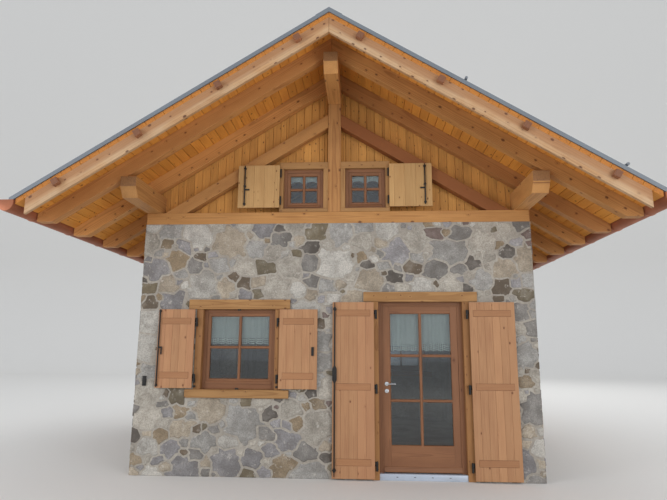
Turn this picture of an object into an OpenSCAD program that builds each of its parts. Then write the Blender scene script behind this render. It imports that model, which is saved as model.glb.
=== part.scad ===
// Alpine chalet: a small rubble-stone house under a wide gable roof of sawn larch.
// Millimetres, Z up, front gable towards -Y, origin on the ground at the centre of the plan.

/* [Stone walls] */
// Width of the walls across the front
wall_w = 5200; // [5000:20:5800]
// Length of the walls from front to rear
wall_l = 6000; // [5000:50:8000]
// Thickness of the walls
wall_t = 450; // [380:10:550]
// Height of the walls up to the tie beams
wall_h = 3270; // [3200:10:3600]
// Height of the ground floor above the ground
floor_h = 60; // [40:5:75]

/* [Door] */
// Centre of the doorway, to the right of the middle of the front
door_x = 1126; // [1000:10:1250]
// Clear width between the door's jamb boards
door_w = 1083; // [1000:10:1150]
// Height of the underside of the door lintel
door_top = 2205; // [2100:10:2300]
// Height of the top of the metal threshold
threshold_h = 75; // [60:5:90]
// Thickness of the door leaf
leaf_t = 56; // [48:2:64]
// Gap round the door leaf
leaf_gap = 6; // [5:1:7]
// Width of the door's stiles
stile_w = 96; // [85:1:110]
// Height of the door's bottom rail
bottom_rail_h = 318; // [250:10:360]

/* [Windows] */
// Distance from the middle of a wall to the centre of its ground-floor window
window_x = 1252; // [1150:10:1300]
// Clear width between the window's jamb boards
window_w = 967; // [850:10:1050]
// Height of the top of the window sill
window_sill_z = 1070; // [950:10:1150]
// Height of the underside of the window lintel
window_top = 2105; // [1950:10:2200]
// Width of the jamb boards of doors and windows
jamb_w = 90; // [70:1:110]
// How far lintels and sills reach into the wall beside an opening
bearing = 104; // [80:2:130]
// Height of the lintels
lintel_h = 127; // [100:1:150]
// Height of the window sills
sill_h = 105; // [80:5:140]
// Width of the fixed frames of windows and door
frame_b = 45; // [35:1:55]
// Width of the sash members
sash_b = 41; // [35:1:50]
// Width of the glazing bars
bar_w = 36; // [24:1:44]
// Thickness of the glass units
glass_t = 16; // [8:1:20]

/* [Gable windows] */
// Distance of the inner edge of a gable window from the middle of the gable
gable_window_in = 150; // [140:5:180]
// Width of a gable window
gable_window_w = 550; // [500:10:600]
// Height of a gable window
gable_window_h = 565; // [480:5:590]
// Height of the sill board under a gable window
gable_sill_h = 50; // [40:5:60]
// Height of the head board over a gable window
gable_head_h = 95; // [70:5:100]

/* [Shutters] */
// Thickness of the shutters
shutter_t = 28; // [24:1:34]
// Gap between the shutters' backs and the wall
shutter_off = 30; // [26:1:40]
// Distance of a hinge pin from the shutter's edge
pin_edge = 27; // [24:1:30]
// Width of the shutters' boards, about
shutter_board_w = 98; // [80:1:120]
// Gap between the two door shutters when they are closed
meeting_gap = 6; // [5:1:10]
// Width of the left door shutter
door_shutter_left_w = 536; // [500:1:560]
// Width of the left-hand shutters of the ground-floor windows
window_shutter_w = 486; // [440:2:520]
// Thickness that the battens stand proud of the boards
batten_proud = 4; // [2:1:8]
// Height of the battens
batten_h = 78; // [60:2:90]
// Radius of the hinge pins
pin_r = 6; // [5:0.5:8]
// Radial clearance of the hinge pins
pin_clear = 0.08; // [0.05:0.01:0.09]

/* [Timber frame] */
// Height of the tie beams
tie_h = 160; // [140:5:200]
// Depth of the tie beams and king posts from front to back
truss_t = 160; // [140:5:190]
// Width of the king posts
post_w = 175; // [150:5:200]
// Height of the gable struts, square to their slope
strut_h = 161; // [130:1:180]
// Height of the struts' upper edge under the rafters, plumb
strut_drop = 385; // [340:5:420]
// Thickness of the gable boards
gable_board_t = 25; // [20:1:30]
// Width of the wall plates under the eaves
plate_w = 200; // [180:5:240]
// Width of the ridge beam
ridge_w = 180; // [160:5:220]
// Height of the ridge beam and wall plates
beam_h = 255; // [220:5:300]
// How far the ridge beam stands out beyond the walls
ridge_out = 930; // [860:10:1000]
// How far the wall plates stand out beyond the walls
plate_out = 860; // [850:10:950]
// Height of the plumb end grain of ridge beam and wall plates
beam_end_h = 125; // [90:5:150]
// Length of the oblique cut under the ends of ridge beam and wall plates
beam_cut = 85; // [60:5:110]
// Depth of the rafters' notches over the beams, plumb
notch = 20; // [10:1:30]

/* [Roof] */
// Pitch of the roof in degrees
pitch = 32; // [28:0.5:35]
// Width of the rafters
rafter_w = 120; // [90:5:140]
// Depth of the rafters, square to the roof
rafter_h = 190; // [160:5:210]
// Number of rafter pairs over the walls
rafter_n = 8; // [7:1:9]
// Reach of the rafters beyond the side walls
eave_out = 1050; // [1000:10:1100]
// How far the level cut under the rafter tails lies below the top of the walls
tail_drop = 140; // [125:5:160]
// Reach of the roof beyond the gables
gable_out = 1250; // [1150:10:1300]
// Thickness of the barge rafters
barge_t = 45; // [35:5:80]
// Depth of the barge rafters, square to the roof
barge_h = 165; // [150:5:180]
// How much shorter the barge rafters are than the others
barge_back = 120; // [80:5:160]
// Size of the square pegs in the barge rafters
peg = 80; // [60:5:90]
// How far the pegs stand out of the barge rafters
peg_out = 60; // [30:5:70]
// Distance of the uppermost peg from the ridge
peg_first = 395; // [350:5:450]
// Distance between the pegs
peg_pitch = 931; // [850:1:950]
// Thickness of the roof boarding
board_t = 55; // [40:1:65]
// Thickness of the roof covering
cover_t = 45; // [35:1:55]
// How far the covering reaches past the boarding at the eaves
cover_over = 68; // [50:1:80]
// Distance between the standing seams
seam_pitch = 530; // [450:10:650]
// Height of the standing seams
seam_h = 25; // [20:1:30]

/* [Gutters] */
// Outer radius of the gutters
gutter_r = 95; // [75:1:100]
// Height of the gutters' upright sides
gutter_side = 40; // [25:1:45]
// Thickness of the gutter sheet
gutter_t = 4; // [3:0.5:5]
// Thickness of the gutter brackets
bracket_t = 6; // [5:0.5:8]
// Width of the gutter brackets
bracket_w = 25; // [20:1:40]

/* [Hidden] */
$fn = 48;

// Clearance between pieces that only lie against each other
lie_gap = 0.05;

// Roof lines: heights of the rafters' underside, plumb thicknesses and heights over it
slope = tan(pitch);
plumb = 1 / cos(pitch);
half_w = wall_w / 2;
half_l = wall_l / 2;
plate_z = wall_h + tie_h;
plate_top = plate_z + beam_h;
under_0 = plate_top - notch + slope * half_w;
rafter_v = rafter_h * plumb;
soffit_0 = under_0 + rafter_v;
cover_0 = soffit_0 + board_t * plumb;
top_0 = cover_0 + cover_t * plumb;
ridge_top = under_0 - slope * ridge_w / 2 + notch;
ridge_z = ridge_top - beam_h;
rafter_end = half_w + eave_out;
tail_z = wall_h - tail_drop;
tail_x = (under_0 - tail_z) / slope;
cover_end = rafter_end + cover_over;
roof_l = wall_l + 2 * gable_out;
verge_over = 15;
apex_gap = 2;
rafter_inset = 25;
rafter_pitch = (wall_l - 2 * rafter_inset - rafter_w) / (rafter_n - 1);
rafter_first = -half_l + rafter_inset + rafter_w / 2;

// Doorway
door_x0 = door_x - door_w / 2;
door_x1 = door_x + door_w / 2;
rough_x0 = door_x0 - jamb_w;
rough_x1 = door_x1 + jamb_w;
lintel_out = 25;
jamb_front = -12;
jamb_depth = 150;
frame_y = 50;
frame_t = 68;
stop_t = 7;
stop_w = 14;
leaf_y = frame_y + stop_t + leaf_gap;
leaf_x0 = door_x0 + frame_b + leaf_gap + 2;
leaf_x1 = door_x1 - frame_b - leaf_gap;
leaf_z0 = threshold_h + leaf_gap;
leaf_z1 = door_top - frame_b - leaf_gap;
glass_x0 = leaf_x0 + stile_w;
glass_x1 = leaf_x1 - stile_w;
glass_z0 = leaf_z0 + bottom_rail_h;
glass_z1 = leaf_z1 - stile_w;
glass_in = 12;
glass_y = leaf_y + (leaf_t - glass_t) / 2;
leaf_pin_y = leaf_y + leaf_t + 10;
leaf_pin_x = leaf_x1 + leaf_gap / 2;
leaf_hinges = [300, 1120, 1940];
knuckle_r = 8;
knuckle_l = 48;
knuckle_gap = 2;
handle_x = leaf_x0 + stile_w / 2;
handle_z = 1155;
key_z = 1066;
rosette_r = 25;
rosette_t = 8;

// Shutters
pin_y = -shutter_off - shutter_t / 2;
pin_x0 = door_x0 - 32;
pin_x1 = door_x1 + 53;
door_shutter_z0 = 20;
door_shutter_z1 = door_top - 10;
door_shutter_right_w = pin_x1 - pin_x0 - 2 * pin_edge - meeting_gap - door_shutter_left_w;
shutter_hinges = [door_shutter_z0 + 92, 1040, door_shutter_z1 - 213];
hinge_l = 112;
shutter_knuckle_r = 14;
still_knuckle_r = 11;

// Windows
window_h = window_top - window_sill_z;
window_frame_y = 55;
sash_back = 10;
bar_back = 14;
window_shutter_z0 = window_sill_z + 15;
window_shutter_z1 = window_top - 5;
hinge_up = 82;
hinge_down = 228;
window_hinges = [window_sill_z + hinge_up, window_top - hinge_down];
gable_window_z = plate_z + gable_sill_h;
gable_window_top = gable_window_z + gable_window_h;
gable_window_x1 = gable_window_in + gable_window_w;
gable_jamb_w = 55;
gable_shutter_w = 575;
gable_shutter_x = gable_window_x1 + gable_jamb_w - 5;
gable_hinge_up = 52;
gable_hinge_down = 125;
gable_hinges = [gable_window_z + gable_hinge_up, gable_window_top - gable_hinge_down];

// Gutters
gutter_x = rafter_end + bracket_t + gutter_r;
gutter_drop = 9;
gutter_top = cover_0 - slope * (rafter_end + bracket_t) - gutter_drop;
gutter_z = gutter_top - gutter_side;
gutter_end_gap = 2;
gutter_l = roof_l + 2 * (verge_over + gutter_end_gap + gutter_t);
bead_r = 8;

function under(x) = under_0 - slope * abs(x);

// A profile drawn in X and Z, carried along Y from y0 for a length
module along_y(y0, length) {
    translate([0, y0 + length, 0]) rotate([90, 0, 0]) linear_extrude(length) children();
}

// A profile drawn in Y and Z, carried along X from x0 for a width
module along_x(x0, width) {
    translate([x0, 0, 0]) rotate([90, 0, 90]) linear_extrude(width) children();
}

// Puts a piece drawn against a wall's outer face, at y = 0, in its place on each side of the house
module on_front() { translate([0, -half_l, 0]) children(); }
module on_rear() { rotate([0, 0, 180]) on_front() children(); }
module on_gables() {
    on_front() children();
    on_rear() children();
}
module on_right() { rotate([0, 0, 90]) translate([0, -half_w, 0]) children(); }
module on_left() { rotate([0, 0, -90]) translate([0, -half_w, 0]) children(); }

// Puts a ground-floor window, drawn about x = 0, in each wall that has one
module at_windows() {
    on_front() translate([-window_x, 0, 0]) children();
    on_rear() translate([-window_x, 0, 0]) children();
    on_left() children();
    on_right() children();
}

// Puts a gable window's piece, drawn for the right-hand window, on both sides of both king posts
module at_gable_windows() {
    on_gables() {
        children();
        mirror([1, 0, 0]) children();
    }
}

module both_sides() {
    children();
    mirror([1, 0, 0]) children();
}

// Stone walls

// Space taken out of a wall by a ground-floor window with its lintel and sill, drawn about x = 0
module window_cut() {
    rough = window_w + 2 * jamb_w;
    reach = rough + 2 * bearing;
    translate([-rough / 2, -1, window_sill_z]) cube([rough, wall_t + 2, window_h]);
    translate([-reach / 2, -1, window_top]) cube([reach, wall_t + 2, lintel_h]);
    translate([-reach / 2, -1, window_sill_z - sill_h]) cube([reach, wall_t + 2, sill_h]);
}

module front_wall() {
    difference() {
        translate([-half_w, 0, 0]) cube([wall_w, wall_t, wall_h]);
        translate([-window_x, 0, 0]) window_cut();
        translate([rough_x0, -1, -1]) cube([rough_x1 - rough_x0, wall_t + 2, door_top + 1]);
        translate([rough_x0 - bearing, -1, door_top])
            cube([rough_x1 - rough_x0 + 2 * bearing, wall_t + 2, lintel_h]);
    }
}

// A tall slice of the front wall between two places across it
module wall_slice(x0, x1) {
    intersection() {
        front_wall();
        translate([x0, -1, -1]) cube([x1 - x0, wall_t + 2, wall_h + 2]);
    }
}

module front_wall_left() { color("silver") on_front() wall_slice(-half_w, rough_x0); }
module front_wall_right() { color("silver") on_front() wall_slice(rough_x1, half_w); }
module front_wall_over_door() { color("silver") on_front() wall_slice(rough_x0, rough_x1); }

module rear_wall() {
    color("silver") on_rear() difference() {
        translate([-half_w, 0, 0]) cube([wall_w, wall_t, wall_h]);
        translate([-window_x, 0, 0]) window_cut();
    }
}

// A side wall stands between the gable walls, and its top course carries the wall plate
module side_wall() {
    inner_l = wall_l - 2 * wall_t;
    top_l = wall_l - 2 * truss_t;
    difference() {
        union() {
            translate([-inner_l / 2, 0, 0]) cube([inner_l, wall_t, wall_h]);
            translate([-top_l / 2, 0, wall_h]) cube([top_l, plate_w, tie_h]);
        }
        window_cut();
    }
}

module side_walls() {
    color("silver") {
        on_left() side_wall();
        on_right() side_wall();
    }
}

// Floors

module ground_floor() {
    room_w = wall_w - 2 * wall_t;
    room_l = wall_l - 2 * wall_t;
    sill_y = jamb_depth + jamb_front;
    color("gainsboro") union() {
        translate([-room_w / 2, -room_l / 2, 0]) cube([room_w, room_l, floor_h]);
        on_front() translate([rough_x0, sill_y, 0])
            cube([rough_x1 - rough_x0, wall_t - sill_y, floor_h]);
    }
}

deck_t = 40;
joist_w = 100;
joist_n = 7;
module floor_joists() {
    span = wall_w - 2 * plate_w - 10;
    first = -half_l + truss_t + joist_w / 2 + 60;
    step = -2 * first / (joist_n - 1);
    color("burlywood") for (i = [0 : joist_n - 1])
        translate([-span / 2, first + i * step - joist_w / 2, wall_h])
            cube([span, joist_w, tie_h - deck_t]);
}

module upper_floor() {
    span = wall_w - 2 * plate_w - 10;
    length = wall_l - 2 * (truss_t + gable_board_t) - 10;
    color("tan") translate([-span / 2, -length / 2, plate_z - deck_t]) cube([span, length, deck_t]);
}

// Gable trusses

module tie_beams() {
    color("peru") on_gables() translate([-half_w, 0, wall_h]) cube([wall_w, truss_t, tie_h]);
}

module king_posts() {
    color("peru") on_gables() translate([-post_w / 2, 0, plate_z])
        cube([post_w, truss_t, ridge_z - plate_z]);
}

// Struts run under the rafters from the tie beam to the king post, set a little back from their faces
strut_in = 10;
module gable_struts() {
    upper = under_0 - strut_drop;
    lower = upper - strut_h * plumb;
    x0 = post_w / 2;
    color("sienna") on_gables() both_sides() along_y(strut_in, truss_t - 2 * strut_in)
        polygon([[x0, lower - slope * x0], [x0, upper - slope * x0],
            [(upper - plate_z) / slope, plate_z], [(lower - plate_z) / slope, plate_z]]);
}

// End of a beam in Y and Z: plumb end grain above, an oblique cut below
module beam_side(out, low) {
    end = half_l + out;
    cut_z = low + beam_h - beam_end_h;
    polygon([[-end, low + beam_h], [-end, cut_z], [-end + beam_cut, low], [end - beam_cut, low],
        [end, cut_z], [end, low + beam_h]]);
}

module roof_beams() {
    color("peru") {
        along_x(-ridge_w / 2, ridge_w) beam_side(ridge_out, ridge_z);
        both_sides() along_x(half_w - plate_w, plate_w) beam_side(plate_out, plate_z);
    }
}

// Beams in X and Z, to be taken out of rafters and boards that sit over them
module beam_sections() {
    translate([-ridge_w / 2, ridge_z]) square([ridge_w, beam_h]);
    for (s = [-1, 1])
        translate([s * (half_w - plate_w / 2) - plate_w / 2, plate_z]) square([plate_w, beam_h]);
}

module gable_boards() {
    edge_x = half_w - eave_board_t - joint_gap;
    edge_z = soffit_0 - slope * edge_x;
    color("goldenrod") on_gables() difference() {
        along_y(truss_t, gable_board_t) difference() {
            polygon([[-edge_x, plate_z], [edge_x, plate_z], [edge_x, edge_z], [0, soffit_0],
                [-edge_x, edge_z]]);
            beam_sections();
        }
        both_sides() translate([gable_window_in, 0, gable_window_z])
            cube([gable_window_w, 2 * truss_t, gable_window_h]);
    }
}

// Roof timbers

// Right-hand rafter in X and Z: plumb at the ridge, notched over the beams, level-cut at the tail
module rafter_side() {
    difference() {
        slope_strip(apex_gap / 2, rafter_end, 0, rafter_v);
        translate([tail_x - 1, tail_z - rafter_end]) square(rafter_end);
        beam_sections();
    }
}

module rafters() {
    color("peru") both_sides() for (i = [-1 : rafter_n])
        along_y(rafter_first + i * rafter_pitch - rafter_w / 2, rafter_w) rafter_side();
}

// A strip of the right-hand roof slope between two plumb heights over the rafters' underside
module slope_strip(x0, x1, low, high) {
    polygon([[x0, under(x0) + low], [x0, under(x0) + high], [x1, under(x1) + high], [x1, under(x1) + low]]);
}

// The four pegs of a barge rafter, flush with its upper edge, or their mortises cut through that edge
peg_n = 4;
module at_pegs(y0, length, cut) {
    for (i = [0 : peg_n - 1]) {
        x = peg_first + i * peg_pitch;
        translate([x, y0, under(x) + rafter_v - joint_gap]) rotate([0, pitch, 0])
            translate([-peg / 2, 0, -peg]) cube([peg, length, peg + cut]);
    }
}

module barge_rafters() {
    color("burlywood") on_gables() both_sides() difference() {
        along_y(-gable_out, barge_t) slope_strip(apex_gap / 2, rafter_end - barge_back,
            rafter_v - barge_h * plumb, rafter_v - joint_gap);
        at_pegs(-gable_out - 1, barge_t + 2, 1);
    }
}

module barge_pegs() {
    color("sienna") on_gables() both_sides() at_pegs(-gable_out - peg_out, barge_t + peg_out, 0);
}

// Closing boards between the rafters over each wall plate
eave_board_t = 30;
joint_gap = 0.5;
module eave_boards() {
    x0 = half_w - eave_board_t;
    top = soffit_0 - joint_gap;
    color("goldenrod") both_sides() for (i = [0 : rafter_n - 2])
        along_y(rafter_first + i * rafter_pitch + rafter_w / 2 + joint_gap,
            rafter_pitch - rafter_w - 2 * joint_gap)
            polygon([[x0, plate_top], [half_w, plate_top], [half_w, top - slope * half_w],
                [x0, top - slope * x0]]);
}

module roof_boards() {
    color("orange") both_sides() along_y(-roof_l / 2, roof_l)
        slope_strip(apex_gap / 2, rafter_end, rafter_v, rafter_v + board_t * plumb);
}

// Metal covering of both slopes, with standing seams that stop short of the cap along the ridge
cap_w = 160;
cap_t = 6;
seam_w = 12;
seam_n = floor((roof_l - 60) / seam_pitch);
module roof_covering() {
    low = rafter_v + board_t * plumb + lie_gap;
    high = rafter_v + (board_t + cover_t) * plumb;
    length = roof_l + 2 * verge_over;
    color("slategray") union() {
        along_y(-length / 2, length) union() both_sides() {
            slope_strip(0, cover_end, low, high);
            slope_strip(0, cap_w, high - 1, high + cap_t * plumb);
        }
        both_sides() for (i = [0 : seam_n - 1])
            along_y((i - (seam_n - 1) / 2) * seam_pitch - seam_w / 2, seam_w)
                slope_strip(cap_w + 10, cover_end - 20, high - 1, high + seam_h * plumb);
    }
}

// Snow guards: a tube along each slope twice over, on stays that stand on the covering between seams
guard_r = 17;
guard_x = [1573, 3287];
guard_up = 46;
guard_stay_t = 8;
module snow_guard(x, inset) {
    length = roof_l + 2 * verge_over - 2 * inset;
    translate([x, 0, top_0 + lie_gap - slope * x]) rotate([0, pitch, 0]) union() {
        translate([0, length / 2, guard_up]) rotate([90, 0, 0]) cylinder(r = guard_r, h = length);
        for (i = [0 : seam_n]) {
            y = (i - seam_n / 2) * seam_pitch;
            translate([-30, y - guard_stay_t / 2, 0]) cube([60, guard_stay_t, guard_up]);
        }
    }
}
module snow_guards() {
    color("dimgray") {
        for (x = guard_x) snow_guard(x, 20);
        mirror([1, 0, 0]) for (x = guard_x) snow_guard(x, 110);
    }
}

// Gutters

// The lower half of a round trough with upright sides, of a given outer radius
module trough(r, side) {
    intersection() {
        circle(r);
        translate([-r, -r]) square([2 * r, r]);
    }
    translate([-r, 0]) square([2 * r, side]);
}

module gutter() {
    inner = gutter_r - gutter_t;
    color("sandybrown") union() {
        along_y(-gutter_l / 2, gutter_l) translate([gutter_x, gutter_z]) difference() {
            trough(gutter_r, gutter_side);
            trough(inner, gutter_side + 1);
        }
        along_y(-gutter_l / 2, gutter_l)
            translate([gutter_x + gutter_r - 1, gutter_top]) circle(bead_r);
        for (y = [-gutter_l / 2, gutter_l / 2 - gutter_t])
            along_y(y, gutter_t) translate([gutter_x, gutter_z]) trough(inner + 1, gutter_side);
    }
}
module gutters() { both_sides() gutter(); }

// Each bracket is screwed to a rafter's end and hooks round the gutter
module gutter_brackets() {
    outer = gutter_r + bracket_t;
    plate_h = 110;
    color("saddlebrown") both_sides() for (i = [-1 : rafter_n])
        along_y(rafter_first + i * rafter_pitch - bracket_w / 2, bracket_w) {
            translate([gutter_x, gutter_z]) difference() {
                trough(outer, gutter_side - bead_r);
                trough(gutter_r + lie_gap, gutter_side + 1);
            }
            translate([rafter_end, gutter_top - plate_h]) difference() {
                square([outer, plate_h]);
                translate([gutter_x - rafter_end, gutter_z - gutter_top + plate_h])
                    trough(gutter_r + lie_gap, gutter_side + 1);
                translate([bracket_t * 2, -1]) square([outer, plate_h + 2]);
            }
        }
}

// Lintels, sills and jambs

module door_lintel() {
    translate([rough_x0 - bearing, -lintel_out, door_top])
        cube([rough_x1 - rough_x0 + 2 * bearing, wall_t + lintel_out, lintel_h]);
}

module lintels() {
    reach = window_w + 2 * (jamb_w + bearing);
    color("burlywood") {
        on_front() door_lintel();
        at_windows() translate([-reach / 2, -lintel_out, window_top])
            cube([reach, wall_t + lintel_out, lintel_h]);
    }
}

// Sills slope to the weather outside the frame
sill_out = 40;
sill_fall = 3;
module window_sills() {
    reach = window_w + 2 * (jamb_w + bearing);
    low = window_sill_z - sill_h;
    color("burlywood") at_windows() along_x(-reach / 2, reach)
        polygon([[-sill_out, low], [-sill_out, window_sill_z - sill_fall], [jamb_front, window_sill_z],
            [wall_t, window_sill_z], [wall_t, low]]);
}

module jamb_pair(width, low, high) {
    for (x = [-width / 2 - jamb_w, width / 2])
        translate([x, jamb_front, low]) cube([jamb_w, jamb_depth, high - low]);
}

module jamb_boards() {
    color("burlywood") {
        on_front() translate([door_x, 0, 0]) jamb_pair(door_w, 0, door_top);
        at_windows() jamb_pair(window_w, window_sill_z, window_top);
    }
}

// Door

// The frame has a stop all round its outer edge that the leaf shuts behind
module door_frame() {
    color("chocolate") on_front() difference() {
        translate([door_x0, frame_y, threshold_h]) cube([door_w, frame_t, door_top - threshold_h]);
        frame_gap(frame_b, frame_y + stop_t);
        frame_gap(frame_b + stop_w, frame_y - 1);
    }
}

module frame_gap(edge, y) {
    translate([door_x0 + edge, y, threshold_h - 1])
        cube([door_w - 2 * edge, frame_t + 2, door_top - edge - threshold_h + 1]);
}

threshold_nose = 8;
module door_threshold() {
    depth = jamb_depth + jamb_front;
    color("lightgray") on_front() along_x(door_x0, door_w)
        polygon([[0, 0], [0, threshold_h - threshold_nose], [threshold_nose, threshold_h],
            [depth, threshold_h], [depth, 0]]);
}

pane_w = (glass_x1 - glass_x0 - bar_w) / 2;
pane_h = (glass_z1 - glass_z0 - 2 * bar_w) / 3;
module door_leaf() {
    color("chocolate") on_front() difference() {
        union() {
            translate([leaf_x0, leaf_y, leaf_z0]) cube([leaf_x1 - leaf_x0, leaf_t, leaf_z1 - leaf_z0]);
            weather_bar();
        }
        for (i = [0 : 1], j = [0 : 2])
            translate([glass_x0 + i * (pane_w + bar_w), leaf_y - 1, glass_z0 + j * (pane_h + bar_w)])
                cube([pane_w, leaf_t + 2, pane_h]);
        door_pane(0);
    }
}

// Moulded bar along the foot of the door that throws water clear of the threshold
module weather_bar() {
    along_x(leaf_x0 + 8, leaf_x1 - leaf_x0 - 16)
        polygon([[leaf_y + 1, leaf_z0 + 72], [leaf_y - 6, leaf_z0 + 66], [leaf_y - 24, leaf_z0 + 22],
            [leaf_y - 24, leaf_z0 + 8], [leaf_y + 1, leaf_z0 + 8]]);
}

// The glass unit in its rebate, with the given clearance round its edge
module door_pane(clear) {
    translate([glass_x0 - glass_in + clear, glass_y, glass_z0 - glass_in + clear])
        cube([glass_x1 - glass_x0 + 2 * (glass_in - clear), glass_t,
            glass_z1 - glass_z0 + 2 * (glass_in - clear)]);
}

glass_clear = 2;
module door_glass() { color("lightsteelblue") on_front() door_pane(glass_clear); }

// Lever handles and key plates on both faces of the leaf
lever_l = 112;
lever_r = 8;
neck_l = 38;
module handle_half() {
    for (z = [handle_z, key_z])
        translate([handle_x, 0, z]) rotate([90, 0, 0]) cylinder(r = rosette_r, h = rosette_t);
    translate([handle_x, 0, handle_z]) rotate([90, 0, 0]) cylinder(r = lever_r, h = rosette_t + neck_l);
    translate([handle_x, -rosette_t - neck_l + lever_r, handle_z]) {
        sphere(lever_r);
        rotate([0, 90, 0]) cylinder(r = lever_r, h = lever_l);
        translate([lever_l, 0, 0]) sphere(lever_r);
    }
}
module door_handle() {
    color("gainsboro") on_front() {
        translate([0, leaf_y, 0]) union() handle_half();
        translate([0, leaf_y + leaf_t, 0]) mirror([0, 1, 0]) union() handle_half();
    }
}

// Half curtain on a thin rod behind the upper panes, with a scalloped hem
curtain_t = 14;
curtain_off = 13;
curtain_up = 50;
curtain_h = 540;
curtain_top = glass_z1 + curtain_up;
curtain_low = curtain_top - curtain_h;
curtain_rod_z = curtain_top - 14;
scallop_n = 9;
rod_bar_r = 5;
module door_curtain() {
    x0 = glass_x0 - 12;
    width = glass_x1 - glass_x0 + 24;
    scallop_r = width / scallop_n / 2;
    color("white") on_front() difference() {
        along_y(leaf_y + leaf_t + curtain_off, curtain_t) union() {
            translate([x0, curtain_low + scallop_r]) square([width, curtain_top - curtain_low - scallop_r]);
            for (i = [0 : scallop_n - 1])
                translate([x0 + (2 * i + 1) * scallop_r, curtain_low + scallop_r]) circle(scallop_r);
        }
        curtain_bore();
    }
}

// The rod's round body, from bracket to bracket
module curtain_bore() {
    translate([glass_x0 - 26, leaf_y + leaf_t + curtain_off + curtain_t / 2, curtain_rod_z])
        rotate([0, 90, 0]) cylinder(r = rod_bar_r, h = glass_x1 - glass_x0 + 52);
}

module door_curtain_rod() {
    x0 = glass_x0 - 12;
    x1 = glass_x1 + 12;
    color("goldenrod") on_front() union() {
        curtain_bore();
        for (x = [x0 - 20, x1 + 8])
            translate([x, leaf_y + leaf_t, curtain_rod_z - 9])
                cube([12, curtain_off + curtain_t, 18]);
    }
}

// Loose-pin hinges of the door: a knuckle below with the pin, one above that turns on it
leaf_pin_r = 5;
module leaf_hinge_places() {
    for (z = leaf_hinges) translate([leaf_pin_x, leaf_pin_y, z]) children();
}

module knuckle(r, low, height) {
    translate([0, 0, low]) cylinder(r = r, h = height);
}

module leaf_hinge_fixed() {
    union() {
        knuckle(knuckle_r, 0, knuckle_l);
        knuckle(leaf_pin_r, 0, 2 * knuckle_l + knuckle_gap + 4);
        translate([0, frame_y + frame_t - leaf_pin_y, 0]) cube([40, 5, knuckle_l]);
    }
}

module door_hinge_knuckles() {
    color("silver") on_front() leaf_hinge_places() difference() {
        union() {
            knuckle(knuckle_r, knuckle_l + knuckle_gap, knuckle_l);
            translate([-44, leaf_y + leaf_t - leaf_pin_y, knuckle_l + knuckle_gap]) cube([44, 4, knuckle_l]);
        }
        knuckle(leaf_pin_r + pin_clear, knuckle_l, knuckle_l + 4);
    }
}

// Shutters, drawn from the hinge pin towards +X with the weather face towards -Y

// Upright boards with open joints at the given places
groove = 5;
module shutter_boards(width, low, high, joints) {
    translate([pin_edge, 0, low]) linear_extrude(high - low) difference() {
        translate([0, -shutter_t / 2]) square([width, shutter_t]);
        for (x = joints, s = [-1, 1])
            translate([x, s * shutter_t / 2]) rotate(45) square(groove, center = true);
    }
}

// Boards of even width, with battens let into the face with closed ends
batten_inset = 50;
module shutter(width, low, high, battens) {
    n = round(width / shutter_board_w);
    union() {
        shutter_boards(width, low, high, [for (i = [1 : n - 1]) i * width / n]);
        for (z = battens)
            translate([pin_edge + batten_inset, -shutter_t / 2 - batten_proud, z])
                cube([width - 2 * batten_inset, batten_proud + 8, batten_h]);
    }
}

// The turning half of a shutter hinge: its knuckle and a plate into the shutter's edge
hinge_plate_t = 5;
module shutter_hinge_turning(z) {
    height = (hinge_l - knuckle_gap) / 2;
    low = z + height + knuckle_gap;
    difference() {
        union() {
            knuckle(shutter_knuckle_r, low, height);
            translate([0, hinge_plate_t, low]) cube([pin_edge, hinge_plate_t, height]);
        }
        knuckle(pin_r + pin_clear, low - 1, height + 2);
    }
}

// The fixed half: lower knuckle, pin, and an arm back to the jamb board
module shutter_hinge_fixed(z) {
    height = (hinge_l - knuckle_gap) / 2;
    union() {
        knuckle(shutter_knuckle_r, z, height);
        knuckle(pin_r, z, hinge_l + 6);
        translate([-7, 0, z]) cube([14, jamb_front - pin_y, height]);
    }
}

// Tall bolt on a shutter's face: a rod with thinner ends through pointed guides at the given heights
rod_r = 9;
rod_end_r = 5;
rod_y = -shutter_t / 2 - batten_proud - rod_r - 1;
module bolt(x, low, high, guides, guide_w, guide_h) {
    first = guides[0];
    last = guides[len(guides) - 1];
    union() {
        translate([x, rod_y, first]) cylinder(r = rod_r, h = last - first);
        translate([x, rod_y, low]) cylinder(r = rod_end_r, h = high - low);
        for (z = guides)
            translate([x, -shutter_t / 2, z]) rotate([90, 0, 0]) linear_extrude(2 - shutter_t / 2 - rod_y)
                polygon([[-guide_w / 2, 0], [0, -guide_h / 2], [guide_w / 2, 0], [0, guide_h / 2]]);
    }
}

// Long grip with tapered ends on a bolt's rod
grip_t = 18;
module long_grip(x, low, high, width) {
    taper = width * 2 / 3;
    translate([x, rod_y + grip_t / 2, 0]) rotate([90, 0, 0]) linear_extrude(grip_t)
        polygon([[-rod_r, low], [rod_r, low], [width / 2, low + taper], [width / 2, high - taper],
            [rod_r, high], [-rod_r, high], [-width / 2, high - taper], [-width / 2, low + taper]]);
}

// Grip that reaches from a bolt's rod towards the hinges
arm_h = 19;
arm_t = 10;
module arm_grip(x, top, reach) {
    translate([x - reach, rod_y - arm_t / 2, top - arm_h]) cube([reach, arm_t, arm_h]);
}

// Plate that a bolt's grip hooks behind
catch_w = 32;
catch_t = 14;
module catch(x, low, height) {
    translate([x - catch_w / 2, -shutter_t / 2 - catch_t, low]) cube([catch_w, catch_t, height]);
}

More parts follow.
